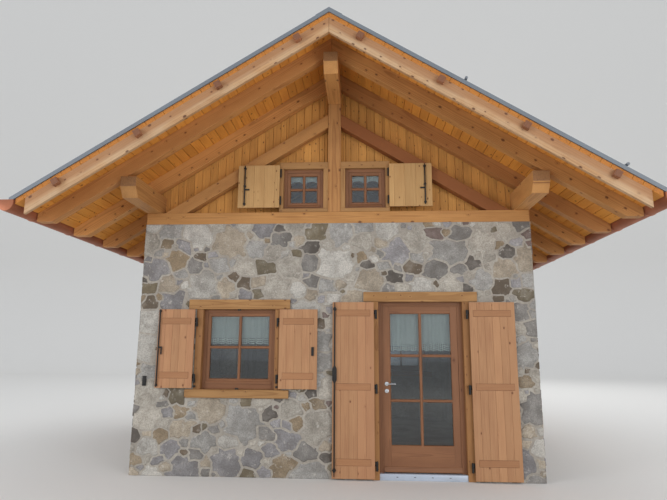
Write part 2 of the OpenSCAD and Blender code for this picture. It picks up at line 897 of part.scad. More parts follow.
door_battens_left = [door_shutter_z0 + 155, 1082, door_shutter_z1 - 180];
door_battens_right = [door_shutter_z0 + 168, 1096, door_shutter_z1 - 183];
door_bolt = [door_shutter_z0 + 22, door_shutter_z1 - 4];
door_guides = [door_shutter_z0 + 99, 1274, door_shutter_z1 - 90];
door_guide_w = 52;
door_guide_h = 76;
door_grip = [1166, 1382];
door_grip_w = 56;
bolt_edge = 30;
module at_left_pin() { on_front() translate([pin_x0, pin_y, 0]) mirror([1, 0, 0]) children(); }
module at_right_pin() { on_front() translate([pin_x1, pin_y, 0]) children(); }

module door_shutter_left() {
    color("rosybrown") at_left_pin()
        shutter(door_shutter_left_w, door_shutter_z0, door_shutter_z1, door_battens_left);
}
module door_shutter_right() {
    color("rosybrown") at_right_pin()
        shutter(door_shutter_right_w, door_shutter_z0, door_shutter_z1, door_battens_right);
}

module door_shutter_left_iron() {
    rod_x = pin_edge + door_shutter_left_w - bolt_edge;
    color("black") at_left_pin() {
        for (z = shutter_hinges) shutter_hinge_turning(z);
        union() {
            bolt(rod_x, door_bolt[0], door_bolt[1], door_guides, door_guide_w, door_guide_h);
            long_grip(rod_x, door_grip[0], door_grip[1], door_grip_w);
        }
    }
}
module door_shutter_right_iron() {
    color("black") at_right_pin() for (z = shutter_hinges) shutter_hinge_turning(z);
}

// Ground-floor window shutters stand open beside each window
window_pin_left = window_w / 2 + 72;
window_pin_right = window_w / 2 + 36;
window_shutter_right_w = window_shutter_w + 12;
module at_window_pins_left() {
    at_windows() translate([-window_pin_left, pin_y, 0]) mirror([1, 0, 0]) children();
}
module at_window_pins_right() { at_windows() translate([window_pin_right, pin_y, 0]) children(); }

batten_up = 139;
batten_down = 199;
window_battens = [window_sill_z + batten_up, window_top - batten_down];
module window_shutters() {
    color("rosybrown") {
        at_window_pins_left()
            shutter(window_shutter_w, window_shutter_z0, window_shutter_z1, window_battens);
        at_window_pins_right()
            shutter(window_shutter_right_w, window_shutter_z0, window_shutter_z1, window_battens);
    }
}

// A hinge that stays as it is: one barrel, an arm back to the wall, and a plate into the shutter's edge
module still_hinge(z, back, edge) {
    half = hinge_l / 2;
    union() {
        knuckle(still_knuckle_r, z, hinge_l);
        translate([-6, 0, z]) cube([12, back, half]);
        translate([0, hinge_plate_t, z + half]) cube([edge, hinge_plate_t, half]);
    }
}

// A dog that holds the free edge of an open shutter off what is behind it
dog_w = 24;
dog_h = 30;
module shutter_dog(x, z, back) {
    translate([x, shutter_t / 2, z]) cube([dog_w, back - shutter_t / 2, dog_h]);
}

// Keepers under a window's lintel and on its sill, for the ends of the closed shutters' bolt
keeper_w = 44;
keeper_h = 20;
keeper_t = 12;
module keepers() {
    for (z = [window_sill_z, window_top - keeper_h])
        translate([-keeper_w / 2, jamb_front, z]) cube([keeper_w, keeper_t, keeper_h]);
}

// Small stop on a window's jamb board, under its shutter's lower hinge
jamb_stop_w = 24;
jamb_stop_out = 20;
jamb_stop_up = 24;
module shutter_stop() {
    translate([-jamb_stop_w / 2, jamb_front - pin_y - jamb_stop_out, window_sill_z + jamb_stop_up])
        cube([jamb_stop_w, jamb_stop_out, jamb_stop_w]);
}

// Iron plate on the wall beyond the left-hand shutter of each window
iron_plate = [48, 20, 125];
iron_plate_at = [-1251, -iron_plate[1], 1108];
module wall_iron() {
    translate(iron_plate_at) cube(iron_plate);
}

small_edge = 23;
small_bolt = [window_shutter_z0 + 11, window_shutter_z1 - 4];
small_guides = [window_shutter_z0 + 36, window_shutter_z1 - 23];
small_guide_w = 34;
small_guide_h = 46;
hook_top = window_sill_z + 543;
hook_reach = 48;
hook_w = 14;
hook_h = 102;
catch_edge = 58;
catch_up = 435;
catch_h = 110;
dog_in = 70;
module window_shutter_iron() {
    far = window_shutter_w + pin_edge;
    far_right = window_shutter_right_w + pin_edge;
    rod_x = far - small_edge;
    at_windows() {
        keepers();
        wall_iron();
    }
    at_window_pins_left() {
        for (z = window_hinges) still_hinge(z, jamb_front - pin_y, pin_edge);
        union() {
            bolt(rod_x, small_bolt[0], small_bolt[1], small_guides, small_guide_w, small_guide_h);
            arm_grip(rod_x, hook_top, hook_reach);
            translate([rod_x - hook_reach, rod_y - arm_t / 2, hook_top - hook_h])
                cube([hook_w, arm_t, hook_h]);
        }
        shutter_stop();
        shutter_dog(far - dog_in, window_shutter_z0 + dog_h, -pin_y);
    }
    at_window_pins_right() {
        for (z = window_hinges) still_hinge(z, jamb_front - pin_y, pin_edge);
        catch(far_right - catch_edge, window_sill_z + catch_up, catch_h);
        shutter_stop();
        shutter_dog(far_right - dog_in, window_shutter_z0 + dog_h, -pin_y);
    }
}

gable_bolt_in = 95;
gable_guides = [gable_window_z + 58, gable_window_z + 309, gable_window_top - 3];
gable_guide_w = 38;
gable_guide_h = 60;
gable_arm_top = gable_window_z + 266;
gable_arm_reach = 66;
gable_dog_in = 60;
gable_dog_down = 95;
module gable_shutter_iron() {
    edge = gable_pin_edge + gable_shutter_w;
    rod_x = edge - gable_bolt_in;
    at_gable_pins() {
        for (z = gable_hinges) still_hinge(z, gable_front - gable_pin_y, gable_pin_edge);
        union() {
            bolt(rod_x, gable_window_z + 26, gable_window_top + 35, gable_guides, gable_guide_w,
                gable_guide_h);
            arm_grip(rod_x, gable_arm_top, gable_arm_reach);
        }
        shutter_dog(edge - gable_dog_in, gable_window_top - gable_dog_down, strut_in - gable_pin_y);
    }
}

module shutter_iron() {
    color("black") {
        window_shutter_iron();
        gable_shutter_iron();
    }
}

// Fixed knuckles and pins of the door and of its shutters
module hinge_pins() {
    color("dimgray") {
        on_front() leaf_hinge_places() leaf_hinge_fixed();
        at_left_pin() for (z = shutter_hinges) shutter_hinge_fixed(z);
        at_right_pin() for (z = shutter_hinges) shutter_hinge_fixed(z);
    }
}

// Windows

// Fixed frame, sash set back in it and two crossing bars, less the glass; drawn about x = 0
module glazed_frame(width, z0, height, foot, y0) {
    sash_w = width - 2 * frame_b;
    sash_h = height - foot - frame_b;
    light_w = sash_w - 2 * sash_b;
    light_h = sash_h - 2 * sash_b;
    light_z = z0 + foot + sash_b;
    difference() {
        translate([-width / 2, y0, z0]) cube([width, frame_t, height]);
        translate([-sash_w / 2, y0 - 1, z0 + foot]) cube([sash_w, sash_back + 1, sash_h]);
        translate([-light_w / 2, y0 - 1, light_z]) cube([light_w, bar_back + 1, light_h]);
        for (i = [0 : 1], j = [0 : 1])
            translate([i * (light_w + bar_w) / 2 - light_w / 2, y0 - 1, light_z + j * (light_h + bar_w) / 2])
                cube([(light_w - bar_w) / 2, frame_t + 2, (light_h - bar_w) / 2]);
        window_pane(width, z0, height, foot, y0, 0);
    }
}

module window_pane(width, z0, height, foot, y0, clear) {
    edge = glass_in - clear;
    light_w = width - 2 * (frame_b + sash_b);
    light_h = height - foot - frame_b - 2 * sash_b;
    translate([-light_w / 2 - edge, y0 + (frame_t - glass_t) / 2 + 8, z0 + foot + sash_b - edge])
        cube([light_w + 2 * edge, glass_t, light_h + 2 * edge]);
}

window_foot = 85;
gable_frame_y = 40;
gable_window_mid = gable_window_in + gable_window_w / 2;
module window_frames() {
    color("chocolate") {
        at_windows() glazed_frame(window_w, window_sill_z, window_h, window_foot, window_frame_y);
        at_gable_windows() translate([gable_window_mid, 0, 0])
            glazed_frame(gable_window_w, gable_window_z, gable_window_h, frame_b, gable_frame_y);
    }
}

module window_glass() {
    color("lightsteelblue") {
        at_windows()
            window_pane(window_w, window_sill_z, window_h, window_foot, window_frame_y, glass_clear);
        at_gable_windows() translate([gable_window_mid, 0, 0])
            window_pane(gable_window_w, gable_window_z, gable_window_h, frame_b, gable_frame_y, glass_clear);
    }
}

// Half curtains behind the ground-floor windows' upper panes, on rods hidden in their heading
pane_curtain_t = 12;
pane_curtain_over = 16;
pane_scallop_n = 8;
module window_curtain() {
    width = window_w - 2 * (frame_b + sash_b) + 2 * pane_curtain_over;
    light_z0 = window_sill_z + window_foot + sash_b;
    light_z1 = window_top - frame_b - sash_b;
    low = (light_z0 + light_z1) / 2 + bar_w;
    r = width / pane_scallop_n / 2;
    along_y(window_frame_y + frame_t, pane_curtain_t) union() {
        translate([-width / 2, low + r]) square([width, light_z1 + pane_curtain_over - low - r]);
        for (i = [0 : pane_scallop_n - 1])
            translate([(2 * i + 1) * r - width / 2, low + r]) circle(r);
    }
}

// Valances behind the gable windows' upper panes, whose hem rises to an arch in the middle of each pane
valance_h = 126;
arch_h = 45;
module gable_valance() {
    light_w = gable_window_w - 2 * (frame_b + sash_b);
    top = gable_window_top - frame_b - sash_b + pane_curtain_over;
    light = (light_w - bar_w) / 2;
    along_y(gable_frame_y + frame_t, pane_curtain_t) difference() {
        translate([-light_w / 2 - pane_curtain_over, top - valance_h])
            square([light_w + 2 * pane_curtain_over, valance_h]);
        for (s = [-1, 1])
            translate([s * (light + bar_w) / 2, top - valance_h]) scale([1, 2 * arch_h / light])
                circle(light / 2);
    }
}

module window_curtains() {
    color("white") {
        at_windows() window_curtain();
        at_gable_windows() translate([gable_window_mid, 0, 0]) gable_valance();
    }
}

// Boards round each gable window: sill, jambs and head, from the king post to the outer jamb
gable_front = -10;
module gable_window_boards() {
    x0 = post_w / 2;
    x1 = gable_window_x1 + gable_jamb_w;
    depth = truss_t - gable_front;
    color("burlywood") at_gable_windows() difference() {
        translate([x0, gable_front, plate_z])
            cube([x1 - x0, depth, gable_window_top + gable_head_h - plate_z]);
        translate([gable_window_in, gable_front - 1, gable_window_z])
            cube([gable_window_w, depth + 2, gable_window_h]);
    }
}

// Gable shutters hang open on the outer side of each gable window: wide boards without battens
gable_pin_y = -36;
gable_pin_edge = 14;
gable_shutter_up = 42;
gable_joints = [66, 211, 356, 501];
module at_gable_pins() {
    at_gable_windows() translate([gable_shutter_x - gable_pin_edge, gable_pin_y, 0]) children();
}
module gable_shutters() {
    color("rosybrown") at_gable_pins() translate([gable_pin_edge - pin_edge, 0, 0])
        shutter_boards(gable_shutter_w, gable_window_z + 5, gable_window_top + gable_shutter_up,
            gable_joints);
}

front_wall_left();
front_wall_right();
front_wall_over_door();
side_walls();
rear_wall();
ground_floor();
floor_joists();
upper_floor();
tie_beams();
king_posts();
gable_struts();
gable_boards();
roof_beams();
rafters();
barge_rafters();
barge_pegs();
eave_boards();
roof_boards();
roof_covering();
snow_guards();
gutters();
gutter_brackets();
lintels();
window_sills();
jamb_boards();
door_frame();
door_threshold();
door_leaf();
door_glass();
door_handle();
door_curtain();
door_curtain_rod();
door_hinge_knuckles();
door_shutter_left();
door_shutter_right();
door_shutter_left_iron();
door_shutter_right_iron();
window_frames();
window_glass();
window_curtains();
window_shutters();
gable_window_boards();
gable_shutters();
shutter_iron();
hinge_pins();
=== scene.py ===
"""An alpine chalet of rubble stone and larch: stones, boards, joinery, ironwork and their finishes."""
import math
from collections import namedtuple

import bpy
import numpy as np
from bpy.props import FloatProperty, FloatVectorProperty, IntProperty, PointerProperty
from mathutils import Matrix, Vector


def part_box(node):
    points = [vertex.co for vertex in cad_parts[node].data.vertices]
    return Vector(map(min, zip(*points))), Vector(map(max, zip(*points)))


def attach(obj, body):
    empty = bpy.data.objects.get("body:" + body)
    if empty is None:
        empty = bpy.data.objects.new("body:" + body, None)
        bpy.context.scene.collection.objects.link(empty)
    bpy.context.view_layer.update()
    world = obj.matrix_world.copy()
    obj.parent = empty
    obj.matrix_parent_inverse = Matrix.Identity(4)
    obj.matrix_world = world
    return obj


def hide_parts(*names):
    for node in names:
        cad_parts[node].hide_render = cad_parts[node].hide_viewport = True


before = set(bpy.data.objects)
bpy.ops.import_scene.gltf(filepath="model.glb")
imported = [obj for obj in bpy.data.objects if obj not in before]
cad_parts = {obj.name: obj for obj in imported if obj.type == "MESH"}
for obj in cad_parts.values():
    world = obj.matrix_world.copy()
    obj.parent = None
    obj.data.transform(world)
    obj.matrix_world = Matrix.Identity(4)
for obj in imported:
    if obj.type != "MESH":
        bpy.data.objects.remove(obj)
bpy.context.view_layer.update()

bl_info = {
    "name": "Alpine Chalet",
    "version": (1, 0, 0),
    "blender": (4, 5, 0),
    "location": "View3D > Sidebar > Chalet",
    "description": "Dresses a stone and timber house with stones, boards, joinery and finishes",
    "category": "Add Mesh",
}

X, Y, Z = range(3)  # axes
PITCH = math.radians(32)  # of the roof
SLOPE = math.tan(PITCH)
HOUSE = "building"

# A window's half width, sill and head, its depth behind the wall's face and the height of its foot
Window = namedtuple("Window", "half low top y foot")
WINDOW = Window(half=0.4835, low=1.070, top=2.105, y=0.055, foot=0.085)
GABLE_WINDOW = Window(half=0.275, low=3.480, top=4.045, y=0.040, foot=0.045)
# Each window's wall and its place along it
WINDOW_PLACES = (("front", -1.252), ("rear", -1.252), ("left", 0.0), ("right", 0.0))
# How far the gable windows stand from the middle, and each one's gable and whether it is mirrored
GABLE_X = 0.425
GABLE_PLACES = (("front", False), ("front", True), ("rear", False), ("rear", True))

JAMB, BEARING = 0.090, 0.104  # width of jamb boards, and how far lintels and sills reach past them
FRAME_W, FRAME_DEEP, SASH_W = 0.045, 0.068, 0.041
PANE_EDGE = 0.086  # frame and sash together
SETBACK = 0.0004  # rails stand back from stiles, so that their joints show
SHUTTER_HALF, PIN_EDGE = 0.014, 0.027  # half a shutter's thickness, and its distance from its hinge pin
ROD_R = 0.0062  # radius of the fold that closes a curtain over its rod
MOST_EDGES = 6  # of a stone
FAR = 9.0  # a distance beyond any wall's end


def srgb(red, green, blue):
    """A colour as seen on a screen, 0 to 255, turned into the linear numbers that shaders use."""
    parts = np.array([red, green, blue]) / 255
    return tuple(np.where(parts <= 0.04045, parts / 12.92, ((parts + 0.055) / 1.055) ** 2.4)) + (1.0,)


def colour(name, what, value):
    """A colour that a user can change, with its default as seen on a screen."""
    return FloatVectorProperty(name=name, description=what, default=srgb(*value), size=4, subtype="COLOR",
                               min=0, max=1)


def length(name, what, value):
    """A length that a user can change, in metres."""
    return FloatProperty(name=name, description=what, default=value, unit="LENGTH", min=0)


class ChaletSizes(bpy.types.PropertyGroup):
    board: length("Soffit board", "Width of the roof boards seen from below", 0.128)
    wall_board: length("Gable board", "Width of the upright gable boards", 0.112)
    shutter_board: length("Shutter board", "Width of a shutter's boards", 0.098)
    board_gap: length("Board gap", "Open joint between roof or gable boards", 0.0034)
    easing: length("Easing", "Width of the worn edge of sawn timbers", 0.004)
    stone_max: length("Largest stone", "Half width of the largest stones", 0.21)
    stone_min: length("Smallest stone", "Half width of the smallest stones", 0.040)
    mortar: length("Mortar joint", "Width of the joints between stones", 0.020)
    stone_out: length("Stone relief", "How far stones stand out of the mortar", 0.008)
    stone_seed: IntProperty(name="Stone pattern", description="Number that picks the stones' places",
                            default=7)
    curtain_folds: IntProperty(name="Curtain folds", description="Folds across the door curtain", default=12)


class ChaletColours(bpy.types.PropertyGroup):
    mortar: colour("Mortar", "Pale lime mortar", (176, 169, 158))
    larch: colour("Larch", "Planed shutter boards", (180, 135, 97))
    larch_dark: colour("Larch grain", "Late wood of the shutter boards", (146, 98, 68))
    ledge: colour("Battens", "Battens of the shutters", (168, 121, 84))
    pine: colour("Soffit pine", "Roof boards seen from below", (224, 154, 68))
    pine_dark: colour("Soffit grain", "Late wood and shade of the roof boards", (168, 98, 40))
    gable: colour("Gable pine", "Upright gable boards", (212, 153, 80))
    gable_dark: colour("Gable grain", "Late wood of the gable boards", (152, 98, 50))
    pale: colour("Pale pine", "Gable shutters", (192, 153, 102))
    pale_dark: colour("Pale pine grain", "Late wood of the gable shutters", (156, 110, 62))
    trim: colour("Trim pine", "Lintels, sills and jamb boards", (170, 128, 81))
    trim_dark: colour("Trim grain", "Late wood of the trim", (122, 82, 44))
    beam: colour("Beam", "Sawn beams and rafters", (196, 143, 85))
    beam_dark: colour("Beam grain", "Late wood of beams and rafters", (142, 90, 46))
    silvered: colour("Barge wood", "Weathered barge rafters", (194, 151, 107))
    silvered_dark: colour("Barge grain", "Grain and stains of the barge rafters", (146, 98, 60))
    joinery: colour("Joinery", "Stained window and door frames", (138, 95, 65))
    joinery_dark: colour("Joinery grain", "Dark grain of the stained frames", (102, 64, 43))
    covering: colour("Roof covering", "Coated sheet metal", (116, 121, 127))
    copper: colour("Copper", "Dulled copper gutters", (168, 104, 74))
    iron: colour("Ironwork", "Black painted hinges, bolts and catches", (18, 16, 15))
    cloth: colour("Cloth", "Sheer curtain cloth", (228, 234, 224))
    floor: colour("Floor", "Studio floor and backdrop", (228, 226, 222))


# Shader arithmetic


def operator(operation, swapped=False):
    """A method of Socket that adds a Math node; swapped puts the other value before the socket's own."""
    def method(self, *others):
        values = (self,) + others
        inputs = dict(enumerate(values[::-1] if swapped else values))
        return self.net.add("ShaderNodeMath", {"operation": operation}, inputs)
    return method


class Socket:
    """A node's output that takes part in Python arithmetic: each operator adds a Math node."""
    __add__, __sub__, __mul__, __truediv__ = map(operator, ("ADD", "SUBTRACT", "MULTIPLY", "DIVIDE"))
    __radd__, __rmul__ = __add__, __mul__
    __rsub__, __rtruediv__ = operator("SUBTRACT", swapped=True), operator("DIVIDE", swapped=True)
    __pow__, __gt__, __lt__ = map(operator, ("POWER", "GREATER_THAN", "LESS_THAN"))
    __abs__, sine, fraction = map(operator, ("ABSOLUTE", "SINE", "FRACT"))

    def __init__(self, net, out):
        self.net = net
        self.out = out

    def clamp(self, low=0.0, high=1.0):
        return self.net.add("ShaderNodeClamp", {}, {"Value": self, "Min": low, "Max": high})

    def span(self, low, high, to_low=0.0, to_high=1.0):
        """The value mapped from one range to another, smoothly and held at both ends."""
        return self.net.add("ShaderNodeMapRange", {"interpolation_type": "SMOOTHSTEP"}, {
            "Value": self, "From Min": low, "From Max": high, "To Min": to_low, "To Max": to_high})


class Net:
    """One material's node tree, with one method that adds any node."""

    def __init__(self, name):
        self.material = bpy.data.materials.new(name)
        self.material.use_nodes = True
        self.nodes = self.material.node_tree.nodes
        self.links = self.material.node_tree.links
        self.nodes.clear()

    def add(self, kind, settings=None, inputs=None, out=0):
        """A new node with its settings, then its inputs; what comes back is the socket of its output out."""
        node = self.nodes.new(kind)
        for key, value in (settings or {}).items():
            if key == "stops":
                set_stops(node.color_ramp, value)
            else:
                setattr(node, key, value)
        for key, value in (inputs or {}).items():
            if isinstance(value, Socket):
                self.links.new(value.out, node.inputs[key])
            else:
                node.inputs[key].default_value = value
        return Socket(self, node.outputs[out]) if node.outputs else None

    def where(self):
        return self.add("ShaderNodeTexCoord", out="Object")

    def attribute(self, name, out="Vector"):
        return self.add("ShaderNodeAttribute", {"attribute_name": name}, out=out)

    def parts(self, vector):
        split = self.add("ShaderNodeSeparateXYZ", {}, {0: vector})
        return [Socket(self, out) for out in split.out.node.outputs]

    def vector(self, x, y, z=0.0):
        return self.add("ShaderNodeCombineXYZ", {}, {0: x, 1: y, 2: z})

    def noise(self, vector, scale, detail, rough):
        return self.add("ShaderNodeTexNoise", {}, {"Vector": vector, "Scale": scale, "Detail": detail,
                                                   "Roughness": rough})

    def noises(self, vector, *kinds):
        """Noise of several kinds, each with its scale, detail and roughness."""
        return [self.noise(vector, *kind) for kind in kinds]

    def cells(self, vector, scale, feature="F1", out="Distance", randomness=1.0, space="3D"):
        return self.add("ShaderNodeTexVoronoi", {"feature": feature, "voronoi_dimensions": space},
                        {"Vector": vector, "Scale": scale, "Randomness": randomness}, out)

    def random(self, value):
        return self.add("ShaderNodeTexWhiteNoise", {"noise_dimensions": "1D"}, {"W": value}, "Value")

    def mix(self, factor, first, second):
        """Two colours mixed by a factor."""
        return self.add("ShaderNodeMix", {"data_type": "RGBA"}, {0: factor, 6: first, 7: second}, 2)

    def steps(self, value, stops):
        """The colour of the last stop that the value has passed."""
        return self.add("ShaderNodeValToRGB", {"stops": stops}, {0: value})

    def lit(self, shade, by):
        """A colour made lighter or darker by a factor."""
        return self.add("ShaderNodeVectorMath", {"operation": "SCALE"}, {0: shade, "Scale": by})

    def bump(self, height, strength, depth):
        return self.add("ShaderNodeBump", {}, {"Height": height, "Strength": strength, "Distance": depth})

    def finish(self, settings):
        """The material, with a principled shader that has these settings on its output."""
        surface = self.add("ShaderNodeBsdfPrincipled", {}, settings)
        self.add("ShaderNodeOutputMaterial", {}, {"Surface": surface})
        return self.material


def set_stops(ramp, stops):
    """Gives a colour ramp hard steps, each from its own place to the next one's."""
    ramp.interpolation = "CONSTANT"
    while len(ramp.elements) < len(stops):
        ramp.elements.new(1.0)
    for element, (place, shade) in zip(ramp.elements, stops):
        element.position = place
        element.color = shade


# Materials


def wood(name, pale, dark, ring=0.011, knots=0.6, rough=0.62, spread=0.22, weather=0.0, weather_colour=None,
         end_colour=None, red=0.0, figure=1.0, knot_gap=0.29, red_tone=(168, 96, 58), ridge=0.0):
    """Wood cut along the fibre.

    The attribute grain holds metres along the fibre and across it, tone holds one random number for each
    board or beam, and end is 1 where the saw crossed the fibre. Growth rings are bands of the distance
    from a pith that lies outside the board, bent by stretched noise, and figure tells how strongly they
    show; knots are sparse cells, knot_gap metres apart, that the bands flow round. Weathered wood is grey
    but for a brown strip under the roof's edge, whose ridge stands at the height ridge.
    """
    net = Net(name)
    knot_brown, old_knot, fresh_brown, crack_brown = (
        srgb(*shade) for shade in ((92, 52, 30), (92, 56, 38), (150, 98, 60), (70, 50, 36)))
    tone = net.attribute("tone", "Fac")
    end = net.attribute("end", "Fac")
    along, across, deep = net.parts(net.attribute("grain"))

    def stretched(lengthwise, crosswise):
        return net.vector(along * lengthwise, across * crosswise, deep * crosswise)

    wander = net.noise(stretched(0.45, 3.0), 1.6, 2.0, 0.5)
    knot_place = net.vector(along, across * 1.5)
    knot = net.cells(knot_place, 1 / knot_gap, randomness=0.6, space="2D")
    knot_kind = net.cells(knot_place, 1 / knot_gap, out="Color", randomness=0.6, space="2D")
    chance, size, _ = net.parts(knot_kind)
    keep = chance < knots * 0.5
    near = knot.span(0.0, 0.20, 1.0, 0.0) * keep
    heart = (knot / (size * 1.3 + 0.35)).span(0.045, 0.090, 1.0, 0.0) * keep
    pith = deep + 0.09
    rings = ((across * across + pith * pith) ** 0.5 + wander * 0.035 + near * 0.016) / ring
    band = rings.fraction()
    late = band.span(0.45, 0.95) * (1 - band.span(0.95, 1.0))
    fibre = net.noise(stretched(5.0, 260.0), 1.0, 3.0, 0.6)
    blotch = net.noise(stretched(1.2, 5.0), 1.4, 3.0, 0.5)
    strength = (late * 0.42 + fibre * 0.34 - 0.14) * figure + blotch.span(0.35, 0.75) * 0.30
    shade = net.mix(strength.clamp(), pale, dark)
    shade = net.mix((heart * 0.85).clamp(), shade, knot_brown)
    shade = net.mix((near * 0.35 - heart * 0.2).clamp(), shade, dark)
    shade = net.lit(shade, net.random(tone * 91.7) * spread * 2 + (1 - spread))
    if red:
        shade = net.mix(tone.span(0.45, 1.0) * red, shade, srgb(*red_tone))
    if weather:
        where = net.where()
        patch = net.noise(where, 2.3, 4.0, 0.6)
        streak = net.noise(stretched(2.0, 30.0), 1.0, 3.0, 0.6)
        x, _, z = net.parts(where)
        bare = (z + abs(x) * SLOPE + patch * 0.05).span(ridge - 0.04, ridge - 0.12)
        grey = (patch.span(0.30, 0.72) * 0.7 + streak.span(0.35, 0.75) * 0.5) * weather * (bare * 0.8 + 0.2)
        shade = net.mix((1 - bare) * 0.6, shade, fresh_brown)
        shade = net.mix(grey.clamp(), shade, weather_colour)
        shade = net.mix((heart * 0.75).clamp(), shade, old_knot)
    pores = net.noise(stretched(60.0, 700.0), 1.0, 2.0, 0.6)
    end_rings = (rings * math.tau).sine()
    end_shade = net.mix((end_rings * 0.18 + blotch * 0.5).clamp(), end_colour or dark, pale)
    cracks = net.cells(stretched(0.3, 30.0), 1.0, "DISTANCE_TO_EDGE")
    end_shade = net.mix(cracks.span(0.0, 0.05, 0.5, 0.0), end_shade, crack_brown)
    return net.finish({
        "Base Color": net.mix(end * 0.9, shade, end_shade),
        "Roughness": (fibre * 0.16 + rough - 0.06).clamp(0.2, 0.95),
        "Normal": net.bump(fibre * 0.5 + late * 0.35 + pores * 0.25 - heart * 0.5, 0.35, 0.0022),
        "Specular IOR Level": 0.32,
    })


def masonry_stone():
    """Field stones: tone gives each stone its kind, its lightness and its own place in the noise."""
    net = Net("field_stone")
    kind, light, place = net.parts(net.attribute("tone_stone"))
    own = net.vector(place * 37.0, place * 19.0, place * 53.0)
    here = net.add("ShaderNodeVectorMath", {"operation": "ADD"}, {0: net.where(), 1: own})
    kinds = ((0.0, 182, 175, 163), (0.15, 192, 188, 180), (0.27, 180, 166, 146), (0.37, 164, 162, 158),
             (0.48, 146, 144, 147), (0.60, 132, 129, 126), (0.69, 150, 130, 102), (0.76, 114, 102, 78),
             (0.84, 104, 88, 70), (0.91, 84, 78, 74), (0.96, 116, 96, 92))
    base = net.steps(kind, [(start, srgb(*shade)) for start, *shade in kinds])
    cloud, fine, speck, lichen = net.noises(here, (6.0, 5.0, 0.6), (60.0, 5.0, 0.65), (340.0, 2.0, 0.5),
                                            (14.0, 6.0, 0.7))
    shade = net.lit(base, light * 0.40 + 0.80)
    for amount, cover in ((cloud.span(0.38, 0.70) * 0.30, (180, 174, 164)),
                          (cloud.span(0.62, 0.34) * 0.42, (104, 97, 88)),
                          (lichen.span(0.58, 0.66) * 0.5, (206, 200, 190)),
                          (fine.span(0.62, 0.36) * 0.38, (84, 78, 72)),
                          (speck.span(0.66, 0.72) * 0.35, (70, 66, 62))):
        shade = net.mix(amount, shade, srgb(*cover))
    return net.finish({
        "Base Color": shade,
        "Roughness": (fine * 0.25 + 0.70).clamp(0.5, 1.0),
        "Normal": net.bump(cloud * 0.5 + fine * 0.45 + speck * 0.12, 0.7, 0.010),
        "Specular IOR Level": 0.25,
    })


def mortar_joint(paint):
    """Lime mortar with sand grains, floated nearly flush."""
    net = Net("lime_mortar")
    cloud, trowel, sand = net.noises(net.where(), (3.2, 4.0, 0.6), (26.0, 4.0, 0.6), (420.0, 2.0, 0.6))
    shade = net.mix(cloud.span(0.30, 0.72), paint.mortar, srgb(156, 149, 139))
    shade = net.mix(trowel.span(0.60, 0.36) * 0.35, shade, srgb(122, 115, 107))
    return net.finish({
        "Base Color": net.mix(sand.span(0.60, 0.70) * 0.30, shade, srgb(120, 112, 102)),
        "Roughness": (sand * 0.15 + 0.80).clamp(0.5, 1.0),
        "Normal": net.bump(trowel * 0.8 + sand * 0.25, 0.6, 0.008),
        "Specular IOR Level": 0.2,
    })


def metal(name, shade, metallic, rough, spots=None, spot_amount=0.3, depth=0.0006):
    """Sheet or cast metal with dull clouds, fine scratches and a slightly uneven face."""
    net = Net(name)
    cloud, fine = net.noises(net.where(), (2.4, 4.0, 0.6), (90.0, 3.0, 0.6))
    tint = net.mix(cloud.span(0.35, 0.75) * spot_amount, shade, spots or shade)
    return net.finish({
        "Base Color": net.mix(fine.span(0.5, 0.8) * 0.18, tint, srgb(60, 56, 52)),
        "Metallic": metallic,
        "Roughness": (cloud * 0.2 + fine * 0.12 + rough - 0.12).clamp(0.05, 1.0),
        "Normal": net.bump(fine * 0.5 + cloud, 0.3, depth),
    })


def window_pane():
    """Clear double glazing with a little dust and slow waves; panes of the rear wall are dark: painted shade
    that keeps the house's inside dark.
    """
    net = Net("clear_pane")
    here = net.where()
    dust, wave = net.noises(here, (7.0, 5.0, 0.65), (1.3, 2.0, 0.5))
    # Panes of the rear wall get a dark colour: painted shade for the unlit inside seen through the front
    # windows
    rear = net.parts(here)[1] > 1.0
    clear = net.mix(dust.span(0.5, 0.8) * 0.3, srgb(226, 234, 236), srgb(200, 208, 212))
    return net.finish({
        "Base Color": net.mix(rear, clear, srgb(92, 98, 104)),
        "Roughness": dust.span(0.4, 0.8, 0.01, 0.05),
        "Normal": net.bump(wave, 0.12, 0.004),
        "IOR": 1.5,
        "Transmission Weight": 1.0,
        "Coat Weight": 0.5,
    })


def sheer_cloth(paint):
    """Sheer woven cloth whose foot is a lace band: the weave lets light through, the band has holes."""
    net = Net("sheer_cloth")
    threads, flowers = 5200.0, 38.0
    u, v, band = net.parts(net.attribute("weave"))
    flower = net.cells(net.vector(u, v), flowers, randomness=0.1, space="2D")
    hole = flower.span(0.46, 0.34) * band
    return net.finish({
        "Base Color": net.mix(band * 0.3, paint.cloth, srgb(214, 222, 208)),
        "Roughness": 0.85,
        "Alpha": (band * 0.30 + 0.62 - hole * 0.85).clamp(0.10, 1.0),
        "Normal": net.bump((u * threads).sine() * 0.5 + (v * threads).sine() * 0.5, 0.2, 0.0004),
        "Sheen Weight": 0.3,
    })


def plain_screed():
    """Smooth screed with pale clouds and a fine grit."""
    net = Net("floor_screed")
    cloud, grit = net.noises(net.where(), (2.0, 4.0, 0.6), (160.0, 3.0, 0.6))
    return net.finish({
        "Base Color": net.mix(cloud.span(0.3, 0.7), srgb(168, 162, 154), srgb(140, 134, 126)),
        "Roughness": (grit * 0.2 + 0.6).clamp(),
        "Normal": net.bump(grit, 0.3, 0.002),
    })


# Meshes


def new_object(name, points, faces, material, body=HOUSE, smooth=False):
    """A mesh object with one material that moves with body, or that rides on nothing."""
    mesh = bpy.data.meshes.new(name)
    mesh.from_pydata(points.tolist(), [], faces)
    mesh.update()
    if smooth:
        mesh.shade_smooth()
    mesh.materials.append(material)
    piece = bpy.data.objects.new(name, mesh)
    bpy.context.scene.collection.objects.link(piece)
    if body:
        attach(piece, body)
    return piece


def read(items, field, width=1, kind=float):
    """A field of a mesh's vertices, edges, corners or faces, as an array with width columns."""
    values = np.empty(len(items) * width, kind)
    items.foreach_get(field, values)
    return values.reshape(-1, width) if width > 1 else values


